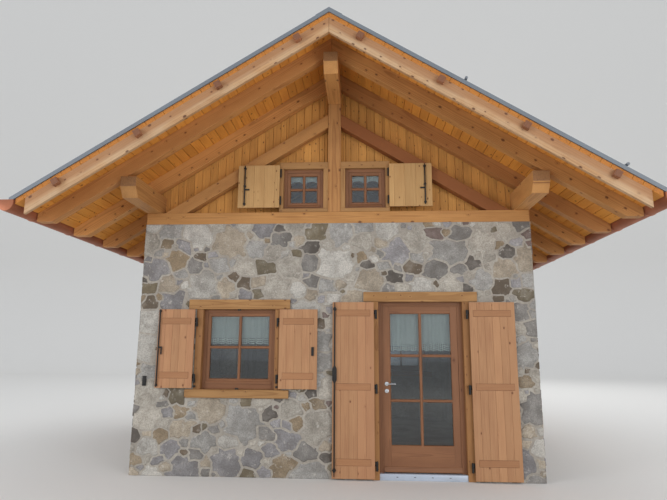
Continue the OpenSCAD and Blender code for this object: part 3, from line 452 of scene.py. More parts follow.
def put(mesh, name, domain, values):
    """Writes one attribute of the mesh from an array, in place of any that has its name."""
    if name in mesh.attributes:
        mesh.attributes.remove(mesh.attributes[name])
    values = np.asarray(values, np.float32)
    kind, field = ("FLOAT_VECTOR", "vector") if values.ndim > 1 else ("FLOAT", "value")
    mesh.attributes.new(name, kind, domain).data.foreach_set(field, values.ravel())


def grid_faces(rows, columns, closed=False):
    """Four-sided faces between neighbours in a grid of points; closed joins its last row to its first."""
    here = np.arange(rows * columns).reshape(rows, columns)
    there = np.roll(here, -1, axis=0)
    if not closed:
        here, there = here[:-1], there[:-1]
    return np.stack([here[:, :-1], there[:, :-1], there[:, 1:], here[:, 1:]], axis=-1).reshape(-1, 4)


def carried(sections, start, end, axis, u_axis, v_axis, ease, rng):
    """Closed bars: each convex section, an array of corners (u, v), carried along axis from start to end.

    Every corner is cut back by ease along both of its edges, and a smaller ring closes each end, so the
    edges are worn all round. Returns points, faces and the attributes grain, tone and end.
    """
    sections = np.asarray(sections, float)
    bars, corners, _ = sections.shape
    start, end = (np.broadcast_to(np.asarray(a, float), (bars,)) for a in (start, end))
    axis, u_axis, v_axis = (np.asarray(a, float) for a in (axis, u_axis, v_axis))
    cut = []
    for way in (1, -1):
        edge = np.roll(sections, way, axis=1) - sections
        cut.append(sections + edge / np.linalg.norm(edge, axis=2, keepdims=True) * ease)
    ring = np.stack(cut, axis=2).reshape(bars, 2 * corners, 2)
    centre = sections.mean(axis=1, keepdims=True)
    small = ring + (centre - ring) * (ease / np.linalg.norm(centre - ring, axis=2, keepdims=True))
    rings = np.stack([small, ring, ring, small], axis=1)
    along = np.stack([start, start + ease, end - ease, end], axis=1)[:, :, None]
    points = along[..., None] * axis + rings[..., :1] * u_axis + rings[..., 1:] * v_axis
    shift = rng.uniform(-4, 4, (bars, 1, 1))
    local = rings - centre[:, None]
    turn = rng.integers(0, 2, (bars, 1, 1)) * 2 - 1
    grain = np.stack(np.broadcast_arrays(
        along * turn + shift, local[..., 0] * turn + shift * 0.013,
        local[..., 1] + rng.uniform(-0.03, 0.03, (bars, 1, 1))), axis=-1)
    here = np.arange(bars * 8 * corners).reshape(bars, 4, -1)
    there = np.roll(here, -1, axis=2)
    quads = np.stack([here[:, :3], there[:, :3], there[:, 1:], here[:, 1:]], axis=-1).reshape(-1, 4)
    faces = quads.tolist() + here[:, 0, ::-1].tolist() + here[:, 3].tolist()
    if np.dot(np.cross(u_axis, v_axis), axis) * signed_area(sections[0]) < 0:
        faces = [f[::-1] for f in faces]
    tone = np.repeat(rng.uniform(0, 1, bars), 8 * corners)
    cap = np.r_[np.zeros(len(quads)), np.ones(2 * bars)]
    return points.reshape(-1, 3), faces, grain.reshape(-1, 3), tone, cap


def timber(boxes, axis, ease, rng):
    """Bars from boxes (x0, y0, z0, x1, y1, z1) whose fibre runs along the axis X, Y or Z."""
    boxes = np.asarray(boxes, float).reshape(-1, 6)
    u, v = ((Z, Y), (X, Z), (X, Y))[axis]
    unit = np.eye(3)
    sections = rectangles(boxes[:, u], boxes[:, u + 3], boxes[:, v], boxes[:, v + 3])
    return carried(sections, boxes[:, axis], boxes[:, axis + 3], unit[axis], unit[u], unit[v], ease, rng)


def moulding(section, axis, start, end, ease, rng):
    """One bar along the axis X or Z with a section of corners (across, y)."""
    section = np.asarray(section, float)[None]
    across = (0, 0, 1) if axis == X else (1, 0, 0)
    return carried(section, start, end, np.eye(3)[axis], across, (0, 1, 0), ease, rng)


def placed(points, matrix):
    """Points put through a 4 by 4 matrix."""
    return points.reshape(-1, 3) @ matrix[:3, :3].T + matrix[:3, 3]


def laid(groups, matrix):
    """Bars put through a matrix; a mirror turns their faces round."""
    way = -1 if np.linalg.det(matrix[:3, :3]) < 0 else 1
    return [(placed(points, matrix), [f[::way] for f in faces], *marks) for points, faces, *marks in groups]


def shifted(x, y=0.0):
    """The 4 by 4 matrix that moves by x and y."""
    matrix = np.eye(4)
    matrix[:2, 3] = (x, y)
    return matrix


def spot(side, x=0.0, y=0.0, mirror=False):
    """From a wall's own frame, with y = 0 on its outer face and -Y outward, to the house's frame."""
    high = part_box("rear_wall")[1]
    angle = {"front": 0, "rear": math.pi, "right": math.pi / 2, "left": -math.pi / 2}[side]
    away = high.y if side in ("front", "rear") else high.x
    turn = np.eye(4)
    turn[:2, :2] = [[math.cos(angle), -math.sin(angle)], [math.sin(angle), math.cos(angle)]]
    return turn @ shifted(x, y - away) @ np.diag([-1.0 if mirror else 1.0, 1, 1, 1])


def joined_bars(name, groups, material, node=None, body=HOUSE):
    """One object from several results of carried, in place of a CAD node if one is given."""
    points, faces, grain, tone, cap = zip(*groups)
    starts = np.cumsum([0] + [len(own) for own in points]).tolist()
    faces = [[i + start for i in face] for own, start in zip(faces, starts) for face in own]
    piece = new_object(name, np.concatenate(points), faces, material, body)
    for mark, domain, values in (("grain", "POINT", grain), ("tone", "POINT", tone), ("end", "FACE", cap)):
        put(piece.data, mark, domain, np.concatenate(values))
    if node:
        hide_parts(node)
    return piece


def signed_area(section):
    """Twice the area of a section, negative where its corners run clockwise."""
    u, v = section.T
    return np.sum(u * np.roll(v, -1) - v * np.roll(u, -1))


def rectangles(u0, u1, v0, v1):
    """Sections of bars between two places in u and two in v, each a number or an array."""
    u0, u1, v0, v1 = np.broadcast_arrays(*(np.atleast_1d(np.asarray(a, float)) for a in (u0, u1, v0, v1)))
    return np.stack([u0, v0, u1, v0, u1, v1, u0, v1], axis=-1).reshape(-1, 4, 2)


def solids_of(edges, count):
    """A number for each vertex that names the solid it belongs to: the lowest index reached by edges."""
    label = np.arange(count)
    while True:
        low = np.minimum(label[edges[:, 0]], label[edges[:, 1]])
        new = label.copy()
        np.minimum.at(new, edges[:, 0], low)
        np.minimum.at(new, edges[:, 1], low)
        new = new[new]
        if np.array_equal(new, label):
            return np.unique(label, return_inverse=True)[1]
        label = new


def dressed(node, suffix, material, ease, sharp, body=HOUSE):
    """A CAD node's copy, merged, its flat faces joined and its edges of more than sharp degrees bevelled."""
    piece = bpy.data.objects.new(node + suffix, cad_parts[node].data.copy())
    bpy.context.scene.collection.objects.link(piece)
    for kind, settings in (
            ("WELD", {"merge_threshold": 1e-5}),
            ("DECIMATE", {"decimate_type": "DISSOLVE", "angle_limit": math.radians(1)}),
            ("BEVEL", {"width": ease, "segments": 2, "limit_method": "ANGLE",
                       "angle_limit": math.radians(sharp)})):
        modifier = piece.modifiers.new(kind, kind)
        for key, value in settings.items():
            setattr(modifier, key, value)
    bpy.context.view_layer.update()
    graph = bpy.context.evaluated_depsgraph_get()
    mesh = bpy.data.meshes.new_from_object(piece.evaluated_get(graph))
    mesh.name = piece.name
    piece.modifiers.clear()
    piece.data = mesh
    mesh.materials.clear()
    mesh.materials.append(material)
    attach(piece, body)
    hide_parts(node)
    return piece


def eased(node, material, rng, ease):
    """A CAD node of sawn timber with worn edges."""
    piece = dressed(node, "_dressed", material, ease, sharp=28)
    mark_fibre(piece.data, rng)
    return piece


def mark_fibre(mesh, rng):
    """Gives a mesh of loose solids its grain, tone and end attributes.

    A solid's fibre runs along its longest direction, found from the spread of its corners. A face turned
    to its second direction swaps the two directions across the fibre, so that knots lie in every face.
    """
    points = read(mesh.vertices, "co", 3)
    solid = solids_of(read(mesh.edges, "vertices", 2, int), len(points))
    normals = read(mesh.polygons, "normal", 3)
    starts = read(mesh.polygons, "loop_start", 1, int)
    corner = read(mesh.loops, "vertex_index", 1, int)
    face_solid = solid[corner[starts]]
    grain, tone = np.zeros_like(points), np.zeros(len(points))
    cap, aside = np.zeros(len(starts)), np.zeros(len(starts), bool)
    for i in range(solid.max() + 1):
        mine, faces = solid == i, face_solid == i
        own = points[mine]
        own = own - (own.max(0) + own.min(0)) / 2
        axes = np.linalg.eigh(np.cov(own.T))[1][:, ::-1]
        grain[mine] = own @ axes + (rng.uniform(-4, 4), rng.uniform(-0.02, 0.02), rng.uniform(-0.04, 0.04))
        tone[mine] = rng.uniform()
        facing = np.abs(normals[faces] @ axes)
        cap[faces] = facing[:, 0] > 0.9
        aside[faces] = facing[:, 1] > 0.7
    grain = grain[corner]
    swap = np.repeat(aside, np.diff(np.append(starts, len(corner))))
    grain[swap] = grain[swap][:, [0, 2, 1]]
    put(mesh, "grain", "CORNER", grain)
    put(mesh, "tone", "POINT", tone)
    put(mesh, "end", "FACE", cap)


# Masonry


def scatter(rng, width, height, sizes, holes, stretch):
    """Places and sizes of stones, the large ones first, none nearer to another than their sizes allow."""
    room, crowd = 0.3, 0.86  # shares of a stone's size that it keeps to openings and to other stones
    found = np.empty((0, 3))
    for radius, tries in sizes:
        tried = np.column_stack([rng.uniform(0, width, tries), rng.uniform(0, height, tries)])
        reach = rng.uniform(0.85, 1.15, tries) * radius
        for (x, z), r in zip(tried, reach):
            edge = room * r
            if any(x0 - edge < x < x1 + edge and z0 - edge < z < z1 + edge for x0, x1, z0, z1 in holes):
                continue
            if len(found):
                gap = np.hypot((found[:, 0] - x) / stretch, found[:, 1] - z)
                if np.any(gap < crowd * (found[:, 2] + r)):
                    continue
            found = np.vstack([found, (x, z, r)])
    return found


def stone_shapes(size, stretch, rng):
    """Polygons of four to six edges: the normal of each edge over its distance from the stone's middle."""
    count = len(size)
    number = rng.choice([4, 4, 4, 5, 5, 6], count)[:, None]
    edge = np.arange(MOST_EDGES)[None] % number
    jitter = np.take_along_axis(rng.uniform(-0.26, 0.26, (count, MOST_EDGES)), edge, axis=1)
    angle = rng.normal(0, 0.14, (count, 1)) + edge * 2 * np.pi / number + jitter
    slope = angle - rng.normal(0, 0.20, (count, 1))
    aspect = rng.uniform(1.0, stretch, (count, 1))
    slack = np.take_along_axis(rng.uniform(0.86, 1.12, (count, MOST_EDGES)), edge, axis=1)
    away = size * slack * np.sqrt((aspect * np.cos(slope)) ** 2 + (np.sin(slope) / aspect) ** 2)
    return np.stack([np.cos(angle), np.sin(angle)], axis=-1) / away[..., None]


def meetings(place, size, normal, gauge, ray):
    """How far each stone goes along each ray until it meets each of its nearest neighbours."""
    neighbours = 20
    far = np.linalg.norm(place[None] - place[:, None], axis=2) / (size.T + size)
    near = np.argsort(far + np.eye(len(place)) * 1e6, axis=1)[:, :neighbours]
    apart = place[:, None] - place[near]
    met = np.zeros((*near.shape, len(ray)))
    for k in range(MOST_EDGES):
        out = normal[near, k]
        lead = np.sum(out * apart, axis=-1)[..., None]
        closing = gauge[:, None] - out @ ray.T
        crossed = np.where(closing > 1e-6, lead / np.maximum(closing, 1e-6), FAR)
        met = np.maximum(met, np.where(lead > 0, crossed, 0))
    return met


def borders(place, ray, width, height, holes, joint):
    """How far each stone goes along each ray until the wall's ends and its openings stop it."""
    over = 0.005
    x, z = place.T
    found = [limit(ray, (-1, 0), x + over), limit(ray, (1, 0), width - x + over),
             limit(ray, (0, -1), z), limit(ray, (0, 1), height - z)]
    for x0, x1, z0, z1 in holes:
        gaps = np.stack([x0 - x, x - x1, z0 - z, z - z1])
        widest = gaps.argmax(axis=0)
        for k, normal in enumerate([(1, 0), (-1, 0), (0, 1), (0, -1)]):
            stops = (widest == k) & (gaps[k] > 0)
            found.append(limit(ray, normal, np.where(stops, gaps[k] - joint * 0.2, FAR)))
    return found


def respoked(reach, turn, ray, spokes=38):
    """Outlines with fewer spokes, which crowd where the outline turns: their directions and lengths."""
    ring = reach[..., None] * ray
    step = np.roll(ring, -1, axis=1) - ring
    chord = np.linalg.norm(step, axis=2)
    heading = np.arctan2(step[..., 1], step[..., 0])
    bend = np.abs((np.roll(heading, -1, axis=1) - heading + np.pi) % (2 * np.pi) - np.pi)
    weight = chord / chord.sum(1, keepdims=True) + 0.9 * np.roll(bend, 1, axis=1) / bend.sum(1, keepdims=True)
    total = np.cumsum(np.pad(weight, ((0, 0), (1, 0))), axis=1)
    total /= total[:, -1:]
    share = np.arange(spokes) / spokes
    around = np.append(turn, 2 * np.pi)
    angles = np.stack([np.interp(share, t, around) for t in total])
    return angles, np.stack([np.interp(a, around, np.append(r, r[0])) for a, r in zip(angles, reach)])


def outlines(seeds, width, height, holes, joint, stretch, rng):
    """For each stone, the directions of its spokes and how far it reaches along them.

    A stone at p is a polygon with edge normals n_k at distances a_k, and its gauge at x is the largest
    n_k . (x - p) / a_k. Two stones part where their gauges are equal: the unit ray u leaves stone i, whose
    gauge grows by g, for stone j at the largest c_k / (g - m_k) over the edges k of j with c_k > 0, where
    c_k = n_k . (p_i - p_j) / a_k and m_k = n_k . u / a_k. The wall's ends and the openings part stones too,
    and a soft minimum rounds the corners a little.
    """
    place, size = seeds[:, :2], seeds[:, 2:]
    count, fine = len(seeds), 180
    turn = np.arange(fine) / fine * 2 * np.pi
    ray = np.column_stack([np.cos(turn), np.sin(turn)])
    normal = stone_shapes(size, stretch, rng)
    gauge = np.einsum("ikc,lc->ikl", normal, ray).max(axis=1)
    met = meetings(place, size, normal, gauge, ray)
    half_joint = rng.uniform(0.5, 1.5, (count, met.shape[1], 1)) * joint / 2
    reach = np.maximum(np.where(met > 0, met - half_joint * 1.15, FAR), 0.01)
    ends = borders(place, ray, width, height, holes, joint) + [1.5 / gauge]
    power = rng.uniform(26, 70, (count, 1, 1))
    every = np.concatenate([reach, np.stack(ends, axis=1)], axis=1)
    soft = np.sum(every ** -power, axis=1) ** (-1 / power[:, 0])
    wave = sum(np.sin(turn * k + rng.uniform(0, 6.28, (count, 1))) * a
               for k, a in ((5, 0.008), (8, 0.006), (13, 0.006), (21, 0.006)))
    return respoked(soft * (0.99 + wave), turn, ray)


def limit(ray, normal, distance):
    """Distance along each ray to a straight edge whose normal points away from the stone."""
    facing, least = ray @ normal, 0.02
    return np.where(facing[None] > least, distance[:, None] / np.maximum(facing, least)[None], FAR)


def stone_skin(side, width, height, holes, sizes, rng, material):
    """All the stones of one wall face, in one mesh.

    Each stone is a low, flat-topped dome over its outline: rings at growing shares of the reach, whose
    height falls slowly and then steeply, on a slightly tilted bed with chipped facets.
    """
    stretch, uneven, facet = 1.35, 0.006, 0.0015
    grades = [(sizes.stone_max, 24), (0.165, 70), (0.130, 400), (0.100, 1300), (0.076, 2200), (0.055, 2600),
              (sizes.stone_min, 1800)]
    seeds = scatter(rng, width, height, grades, holes, 1.12)
    angles, reach = outlines(seeds, width, height, holes, sizes.mortar, stretch, rng)
    stones, spokes = reach.shape
    shares = np.array([0.0, 0.5, 0.80, 0.92, 0.975, 1.0])
    falls = np.array([1.0, 1.0, 0.96, 0.72, 0.18, -0.7])
    radial = reach[:, None] * shares[None, :, None]
    from_middle, over_middle = radial * np.cos(angles)[:, None], radial * np.sin(angles)[:, None]
    across = seeds[:, :1, None] + from_middle
    up = seeds[:, 1:2, None] + over_middle
    tilt = rng.uniform(-0.035, 0.035, (stones, 4, 1, 1))
    swell = rng.uniform(0.55, 1.35, (stones, 1, 1)) * sizes.stone_out
    lean = from_middle * tilt[:, 0] + over_middle * tilt[:, 1]
    chip = from_middle * tilt[:, 2] + over_middle * tilt[:, 3]
    bed = np.clip(np.minimum(lean, chip + facet), -uneven, uneven)
    out = swell * falls[None, :, None] + bed * np.clip(falls, 0, 1)[None, :, None]
    grid = np.stack([across - width / 2, -out, np.maximum(up, 0)], axis=-1)[:, 1:]
    centre = np.stack([seeds[:, 0] - width / 2, -swell[:, 0, 0], seeds[:, 1]], axis=-1)[:, None]
    block = np.concatenate([centre, grid.reshape(stones, -1, 3)], axis=1)
    each = block.shape[1]
    here = 1 + np.arange(each - 1).reshape(-1, spokes)
    there = np.roll(here, -1, axis=1)
    fan = np.column_stack([np.zeros(spokes, int), here[0], there[0]])
    quads = np.stack([here[:-1], here[1:], there[1:], there[:-1]], axis=-1).reshape(-1, 4)
    base = np.arange(stones)[:, None, None] * each
    faces = (base + fan).reshape(-1, 3).tolist() + (base + quads).reshape(-1, 4).tolist()
    piece = new_object(side + "_wall_stones", placed(block, spot(side)), faces, material, smooth=True)
    tone = rng.uniform(0, 1, (stones, 3))
    tone[:, 0] *= np.interp(seeds[:, 2], [0.11, 0.17], [1.0, 0.62])
    put(piece.data, "tone_stone", "POINT", np.repeat(tone, each, axis=0))


def openings_of(side, width):
    """Rectangles across and up where timber stands in a wall face: openings with lintels and sills."""
    jamb_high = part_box("door_frame")[1].z
    lintel_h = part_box("lintels")[1].z - jamb_high
    sill_low, sill_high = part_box("window_sills")
    half, top = WINDOW.half + JAMB, WINDOW.top
    middle = width / 2 + dict(WINDOW_PLACES)[side]
    holes = [(middle - reach, middle + reach, low, high) for reach, low, high in (
        (half, sill_low.z, top + lintel_h), (half + BEARING, top, top + lintel_h),
        (half + BEARING, sill_low.z, sill_high.z))]
    if side == "front":
        low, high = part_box("door_threshold")
        x0, x1 = low.x + width / 2 - JAMB, high.x + width / 2 + JAMB
        holes += [(x0, x1, -0.5, jamb_high + lintel_h),
                  (x0 - BEARING, x1 + BEARING, jamb_high, jamb_high + lintel_h)]
    return holes


class CHALET_OT_masonry(bpy.types.Operator):
    """Lay the stones of the four walls in their mortar"""
    bl_idname = "chalet.masonry"
    bl_label = "Stones and mortar"

    def execute(self, context):
        sizes = context.scene.chalet_sizes
        set_material(mortar_joint(context.scene.chalet_colours), "front_wall_left", "front_wall_right",
                     "front_wall_over_door", "side_walls", "rear_wall")
        stone = masonry_stone()
        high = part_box("rear_wall")[1]
        rng = np.random.default_rng(sizes.stone_seed)
        for side, _ in WINDOW_PLACES:
            width = 2 * (high.x if side in ("front", "rear") else high.y)
            stone_skin(side, width, high.z, openings_of(side, width), sizes, rng, stone)
        set_material(plain_screed(), "ground_floor")
        return {"FINISHED"}


def set_material(material, *nodes):
    """Gives CAD nodes that stay as they are their material."""
    for node in nodes:
        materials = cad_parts[node].data.materials
        materials.clear()
        materials.append(material)


class CHALET_OT_timbers(bpy.types.Operator):
    """Dress the sawn timbers of gables, roof and openings"""
    bl_idname = "chalet.timbers"
    bl_label = "Sawn timbers"

    def execute(self, context):
        ease = context.scene.chalet_sizes.easing
        paint = context.scene.chalet_colours
        rng = np.random.default_rng(21)
        beam = wood("sawn_beam", paint.beam, paint.beam_dark, end_colour=srgb(112, 78, 56), knots=0.8,
                    figure=0.8, knot_gap=0.24)
        post = wood("post_larch", srgb(190, 138, 84), srgb(138, 88, 48), knots=0.8, knot_gap=0.22,
                    spread=0.08)
        rafter = wood("rafter_larch", srgb(202, 146, 86), srgb(146, 92, 48), end_colour=srgb(150, 104, 66),
                      knots=1.3, red=0.15, knot_gap=0.22)
        # red_tone is the darker red-brown that only the right strut gets: painted shade
        strut = wood("strut_larch", paint.beam, srgb(132, 80, 44), knots=0.7, spread=0.06, red=0.85,
                     red_tone=(132, 75, 40), knot_gap=0.22)
        barge = wood("silvered_larch", paint.silvered, paint.silvered_dark, weather=0.5,
                     weather_colour=srgb(206, 184, 154), end_colour=srgb(132, 98, 70), knots=1.5, red=0.3,
                     knot_gap=0.20, ridge=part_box("barge_rafters")[1].z)
        peg = wood("peg_wood", srgb(158, 106, 74), srgb(98, 60, 42), end_colour=srgb(112, 74, 54), knots=0.2)
        trim = wood("oiled_pine", paint.trim, paint.trim_dark, end_colour=srgb(140, 100, 62), knots=1.0,
                    knot_gap=0.16, spread=0.12)
        jamb = wood("jamb_pine", srgb(162, 116, 71), srgb(112, 72, 40), end_colour=srgb(140, 100, 62),
                    knots=1.0, knot_gap=0.13, spread=0.08)
        struts = eased("gable_struts", strut, rng, ease).data
        # The right strut gets a high tone and so a darker red-brown than the left one: painted shade, as it
        # stands in more shade
        right = read(struts.vertices, "co", 3)[:, X] > 0
        red, brown = 0.97, 0.2
        put(struts, "tone", "POINT", np.where(right, red, brown))
        for node, material in (("tie_beams", beam), ("king_posts", post), ("roof_beams", beam),
                               ("rafters", rafter), ("barge_pegs", peg), ("lintels", trim),
                               ("window_sills", trim), ("jamb_boards", jamb), ("eave_boards", rafter),
                               ("floor_joists", rafter)):
            eased(node, material, rng, ease)
        barge_pair(barge, rng, ease)
        window_surrounds(trim, rng)
        return {"FINISHED"}


def barge_pair(material, rng, ease):
    """The barge rafters of both gables: a slope's profile carried through their thickness."""
    low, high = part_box("barge_rafters")
    inner, thick = 0.001, 0.045
    foot = low.z + SLOPE * (high.x - inner)
    section = [[(inner, foot), (high.x, low.z), (high.x, low.z + high.z - foot), (inner, high.z)]]
    groups = [carried(section, y, y + thick, (0, 1, 0), (side, 0, 0), (0, 0, 1), ease, rng)
              for side in (1, -1) for y in (low.y, high.y - thick)]
    mark_fibre(joined_bars("barge_rafters_dressed", groups, material, "barge_rafters").data, rng)


def window_surrounds(material, rng):
    """Sill, head and jamb boards round each gable window, from the king post to the outer jamb."""
    low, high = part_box("gable_window_boards")
    g = GABLE_WINDOW
    inner, front, back = 0.0875, -0.010, 0.160
    levels = ((low.z, g.low), (g.top, high.z))
    uprights = ((inner, GABLE_X - g.half), (GABLE_X + g.half, high.x))
    groups = []
    for side, mirror in GABLE_PLACES:
        level = timber([(inner, front, z0, high.x, back, z1) for z0, z1 in levels], X, 0.004, rng)
        upright = timber([(x0, front, g.low, x1, back, g.top) for x0, x1 in uprights], Z, 0.003, rng)
        groups += laid([level, upright], spot(side, mirror=mirror))
    joined_bars("gable_window_surrounds", groups, material, "gable_window_boards")


class CHALET_OT_boards(bpy.types.Operator):
    """Lay the roof boards, the upright gable boards and the loft's floor boards"""
    bl_idname = "chalet.boards"
    bl_label = "Roof and gable boards"

    def execute(self, context):
        sizes = context.scene.chalet_sizes
        paint = context.scene.chalet_colours
        rng = np.random.default_rng(5)
        pine = wood("soffit_pine", paint.pine, paint.pine_dark, spread=0.11, knots=0.7, red=0.12, figure=0.5,
                    knot_gap=0.16)
        gable = wood("gable_pine", paint.gable, paint.gable_dark, spread=0.14, knots=0.9, figure=0.5,
                     knot_gap=0.13)
        slopes = [roof_slope(side, sizes.board, sizes.board_gap, rng) for side in (1, -1)]
        joined_bars("roof_boarding", slopes, pine, "roof_boards")
        uprights = gable_walls(sizes.wall_board, sizes.board_gap / 2, rng)
        joined_bars("gable_boarding", uprights, gable, "gable_boards")
        joined_bars("loft_deck", [deck(rng)], gable, "upper_floor")
        return {"FINISHED"}


def deck(rng):
    """Floor boards of the loft, side by side across the house."""
    low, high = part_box("upper_floor")
    width, joint = 0.16, 0.0006
    cuts = np.linspace(low.x, high.x, round((high.x - low.x) / width) + 1)
    return timber([(a + joint, low.y, low.z, b - joint, high.y, high.z) for a, b in zip(cuts, cuts[1:])],
                  Y, 0.002, rng)


def roof_slope(side, width, gap, rng):
    """Boards along Y side by side down one slope, cut plumb at the ridge and at the eaves."""
    low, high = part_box("roof_boards")
    inset, board = 0.001, 0.055
    thick, lean = board / math.cos(PITCH), board * math.sin(PITCH)
    count = round((high.x - inset) / (width * math.cos(PITCH)))
    cuts = np.linspace(inset, high.x, count + 1)
    inner, outer = cuts[:-1], cuts[1:] - gap
    inner_top = np.append(inner[:1], inner[1:] + lean)
    outer_top = np.append(outer[:-1] + lean, outer[-1:])
    across = np.stack([inner, outer, outer_top, inner_top], axis=1)
    height = high.z - np.array([thick, thick, 0, 0]) - across * SLOPE
    sections = np.stack([across, height], axis=-1)
    return carried(sections, low.y, high.y, (0, 1, 0), (side, 0, 0), (0, 0, 1), 0.0035, rng)


def gable_walls(width, gap, rng):
    """Upright boards of both gables, cut to the roof's slope above and round the windows."""
    low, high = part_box("gable_boards")
    thick = 0.025
    cuts = np.linspace(0.0, high.x, round(high.x / width) + 1)
    groups = []
    for gable in (-1, 1):
        for side in (-1, 1):
            for part in zip(cuts, cuts[1:]):
                for u0, u1, bottom, top, sloped in split_board(*part, low.z, high.z):
                    reach = top - SLOPE * u0 if sloped else top
                    group = carried(rectangles(u0 + gap, u1 - gap, 0, thick), bottom, reach, (0, 0, 1),
                                    (side, 0, 0), (0, gable, 0), 0.003, rng)
                    points = group[0]
                    if sloped:
                        head = points[:, 2] > bottom + 0.02
                        points[head, 2] -= SLOPE * (np.abs(points[head, 0]) - u0)
                    points[:, 1] += gable * (high.y - thick)
                    groups.append(group)
    return groups


def split_board(u0, u1, bottom, apex):
    """The stretches of an upright board, cut where the window stands: from u, to u, bottom, top, sloped."""
    g = GABLE_WINDOW
    x0, x1 = GABLE_X - g.half, GABLE_X + g.half
    parts = []
    edges = sorted({u0, u1, *(x for x in (x0, x1) if u0 < x < u1)})
    for a, b in zip(edges, edges[1:]):
        if a >= x0 - 1e-6 and b <= x1 + 1e-6:
            parts += [(a, b, bottom, g.low, False), (a, b, g.top, apex, True)]
        else:
            parts.append((a, b, bottom, apex, True))
    return parts


def framework(x0, x1, z0, z1, y0, y1, stile, foot, head, rows, back, rng):
    """A glazed leaf or sash, two lights wide: stiles, rails, bars with chamfered ribs and a bead round it.

    The bars stand back from the face by back and narrow towards it.
    """
    left, right, low, high = x0 + stile, x1 - stile, z0 + foot, z1 - head
    bar, bead, columns = 0.036, 0.008, 2
    rail, deep = y0 + SETBACK, y0 + back
    groups = [timber([(x0, y0, z0, left, y1, z1), (right, y0, z0, x1, y1, z1)], Z, 0.0025, rng),
              timber([(left, rail, z0, right, y1, low), (left, rail, high, right, y1, z1)], X, 0.0025, rng)]
    light = (right - left - (columns - 1) * bar) / columns
    tall = (high - low - (rows - 1) * bar) / rows
    rib = np.array([(-0.5, 1.0), (-0.5, 0.0), (-0.22, -1.0), (0.22, -1.0), (0.5, 0.0), (0.5, 1.0)])
    shape = np.column_stack([rib[:, 0] * bar, np.interp(rib[:, 1], [-1, 0, 1], [deep, deep + 0.010, y1])])
    for i in range(1, columns):
        middle = left + i * (light + bar) - bar / 2
        groups.append(moulding(shape + (middle, 0), Z, low, high, 0.001, rng))
    for j in range(1, rows):
        middle = low + j * (tall + bar) - bar / 2
        for i in range(columns):
            start = left + i * (light + bar)
            groups.append(moulding(shape + (middle, SETBACK), X, start, start + light, 0.001, rng))
    corner = np.array([(0, 0), (bead, bead), (0, bead)])
    for axis, edges, ends in ((Z, (left, right), (low, high)), (X, (low, high), (left, right))):
        for edge, sign in zip(edges, (1, -1)):
            groups.append(moulding(corner * (sign, 1) + (edge, deep), axis, *ends, 0.0008, rng))
    return groups


def weather_bar(z, y, profile, start, end, rng):
    """A bar along the foot of a leaf, whose profile is given as steps up and out from z and y."""
    return moulding([(z + up, y + out) for up, out in profile], X, start, end, 0.0015, rng)


def window_groups(window, rng):
    """A window about x = 0: fixed frame, sash set back in it, and the weather bar at its foot."""
    half, z0, z1, y0 = window.half, window.low, window.top, window.y
    inner, low, high, back = half - FRAME_W, z0 + window.foot, z1 - FRAME_W, y0 + FRAME_DEEP
    rail, sunk, shy = y0 + SETBACK, 0.010, 0.002  # the sash lies deeper than its frame and ends before it
    groups = [timber([(-half, y0, z0, -inner, back, z1), (inner, y0, z0, half, back, z1)], Z, 0.003, rng),
              timber([(-inner, rail, high, inner, back, z1), (-inner, rail, z0, inner, back, low)], X, 0.003,
                     rng)]
    groups += framework(-inner, inner, low, high, y0 + sunk, back - shy, stile=SASH_W, foot=SASH_W,
                        head=SASH_W, rows=2, back=0.004, rng=rng)
    drip = ((0.020, 0.011), (0.012, 0.002), (-0.012, -0.010), (-0.020, -0.010), (-0.020, 0.011))
    groups.append(weather_bar(low, y0, drip, 0.002 - inner, inner - 0.002, rng))
    return groups


class CHALET_OT_windows(bpy.types.Operator):
    """Fit the frames and sashes of all windows"""
    bl_idname = "chalet.windows"
    bl_label = "Window frames"

    def execute(self, context):
        paint = context.scene.chalet_colours
        rng = np.random.default_rng(31)
        stained = wood("stained_joinery", paint.joinery, paint.joinery_dark, knots=0.1, rough=0.45,
                       spread=0.10, ring=0.006)
        groups = []
        for side, x in WINDOW_PLACES:
            groups += laid(window_groups(WINDOW, rng), spot(side, x))
        for side, mirror in GABLE_PLACES:
            place = spot(side, mirror=mirror) @ shifted(GABLE_X)
            groups += laid(window_groups(GABLE_WINDOW, rng), place)
        joined_bars("window_joinery", groups, stained, "window_frames")
        door_joinery(stained, rng)
        return {"FINISHED"}


def door_joinery(stained, rng):
    """The door's frame with its stop, and the leaf with six lights and a weather bar along its foot."""
    low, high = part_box("door_frame")
    left, right, top = low.x + FRAME_W, high.x - FRAME_W, high.z - FRAME_W
    stop, lap = 0.014, 0.0005
    front, rail, near, back = low.y, low.y + SETBACK, low.y + 0.007, high.y
    surround = [
        timber([(low.x, front, low.z, left, back, high.z), (right, front, low.z, high.x, back, high.z),
                (left - lap, front, low.z, left + stop, near, top),
                (right - stop, front, low.z, right + lap, near, top)], Z, 0.002, rng),
        timber([(left, rail, top, right, back, high.z),
                (left + stop, rail, top - stop, right - stop, near, top + lap)], X, 0.002, rng)]
    joined_bars("door_frame_joinery", surround, stained, "door_frame")
    low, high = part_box("door_leaf")
    pane_low, pane_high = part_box("door_glass")
    thick, groove = 0.056, 0.010
    front = high.y - thick
    leaf = framework(low.x, high.x, low.z, high.z, front, high.y, stile=pane_low.x + groove - low.x,
                     foot=pane_low.z + groove - low.z, head=high.z - pane_high.z + groove, rows=3, back=0.003,
                     rng=rng)
    drip = ((0.072, 0.001), (0.066, -0.006), (0.022, -0.024), (0.008, -0.024), (0.008, 0.001))
    leaf.append(weather_bar(low.z, front, drip, low.x + 0.008, high.x - 0.008, rng))
    joined_bars("door_leaf_joinery", leaf, stained, "door_leaf", "door")


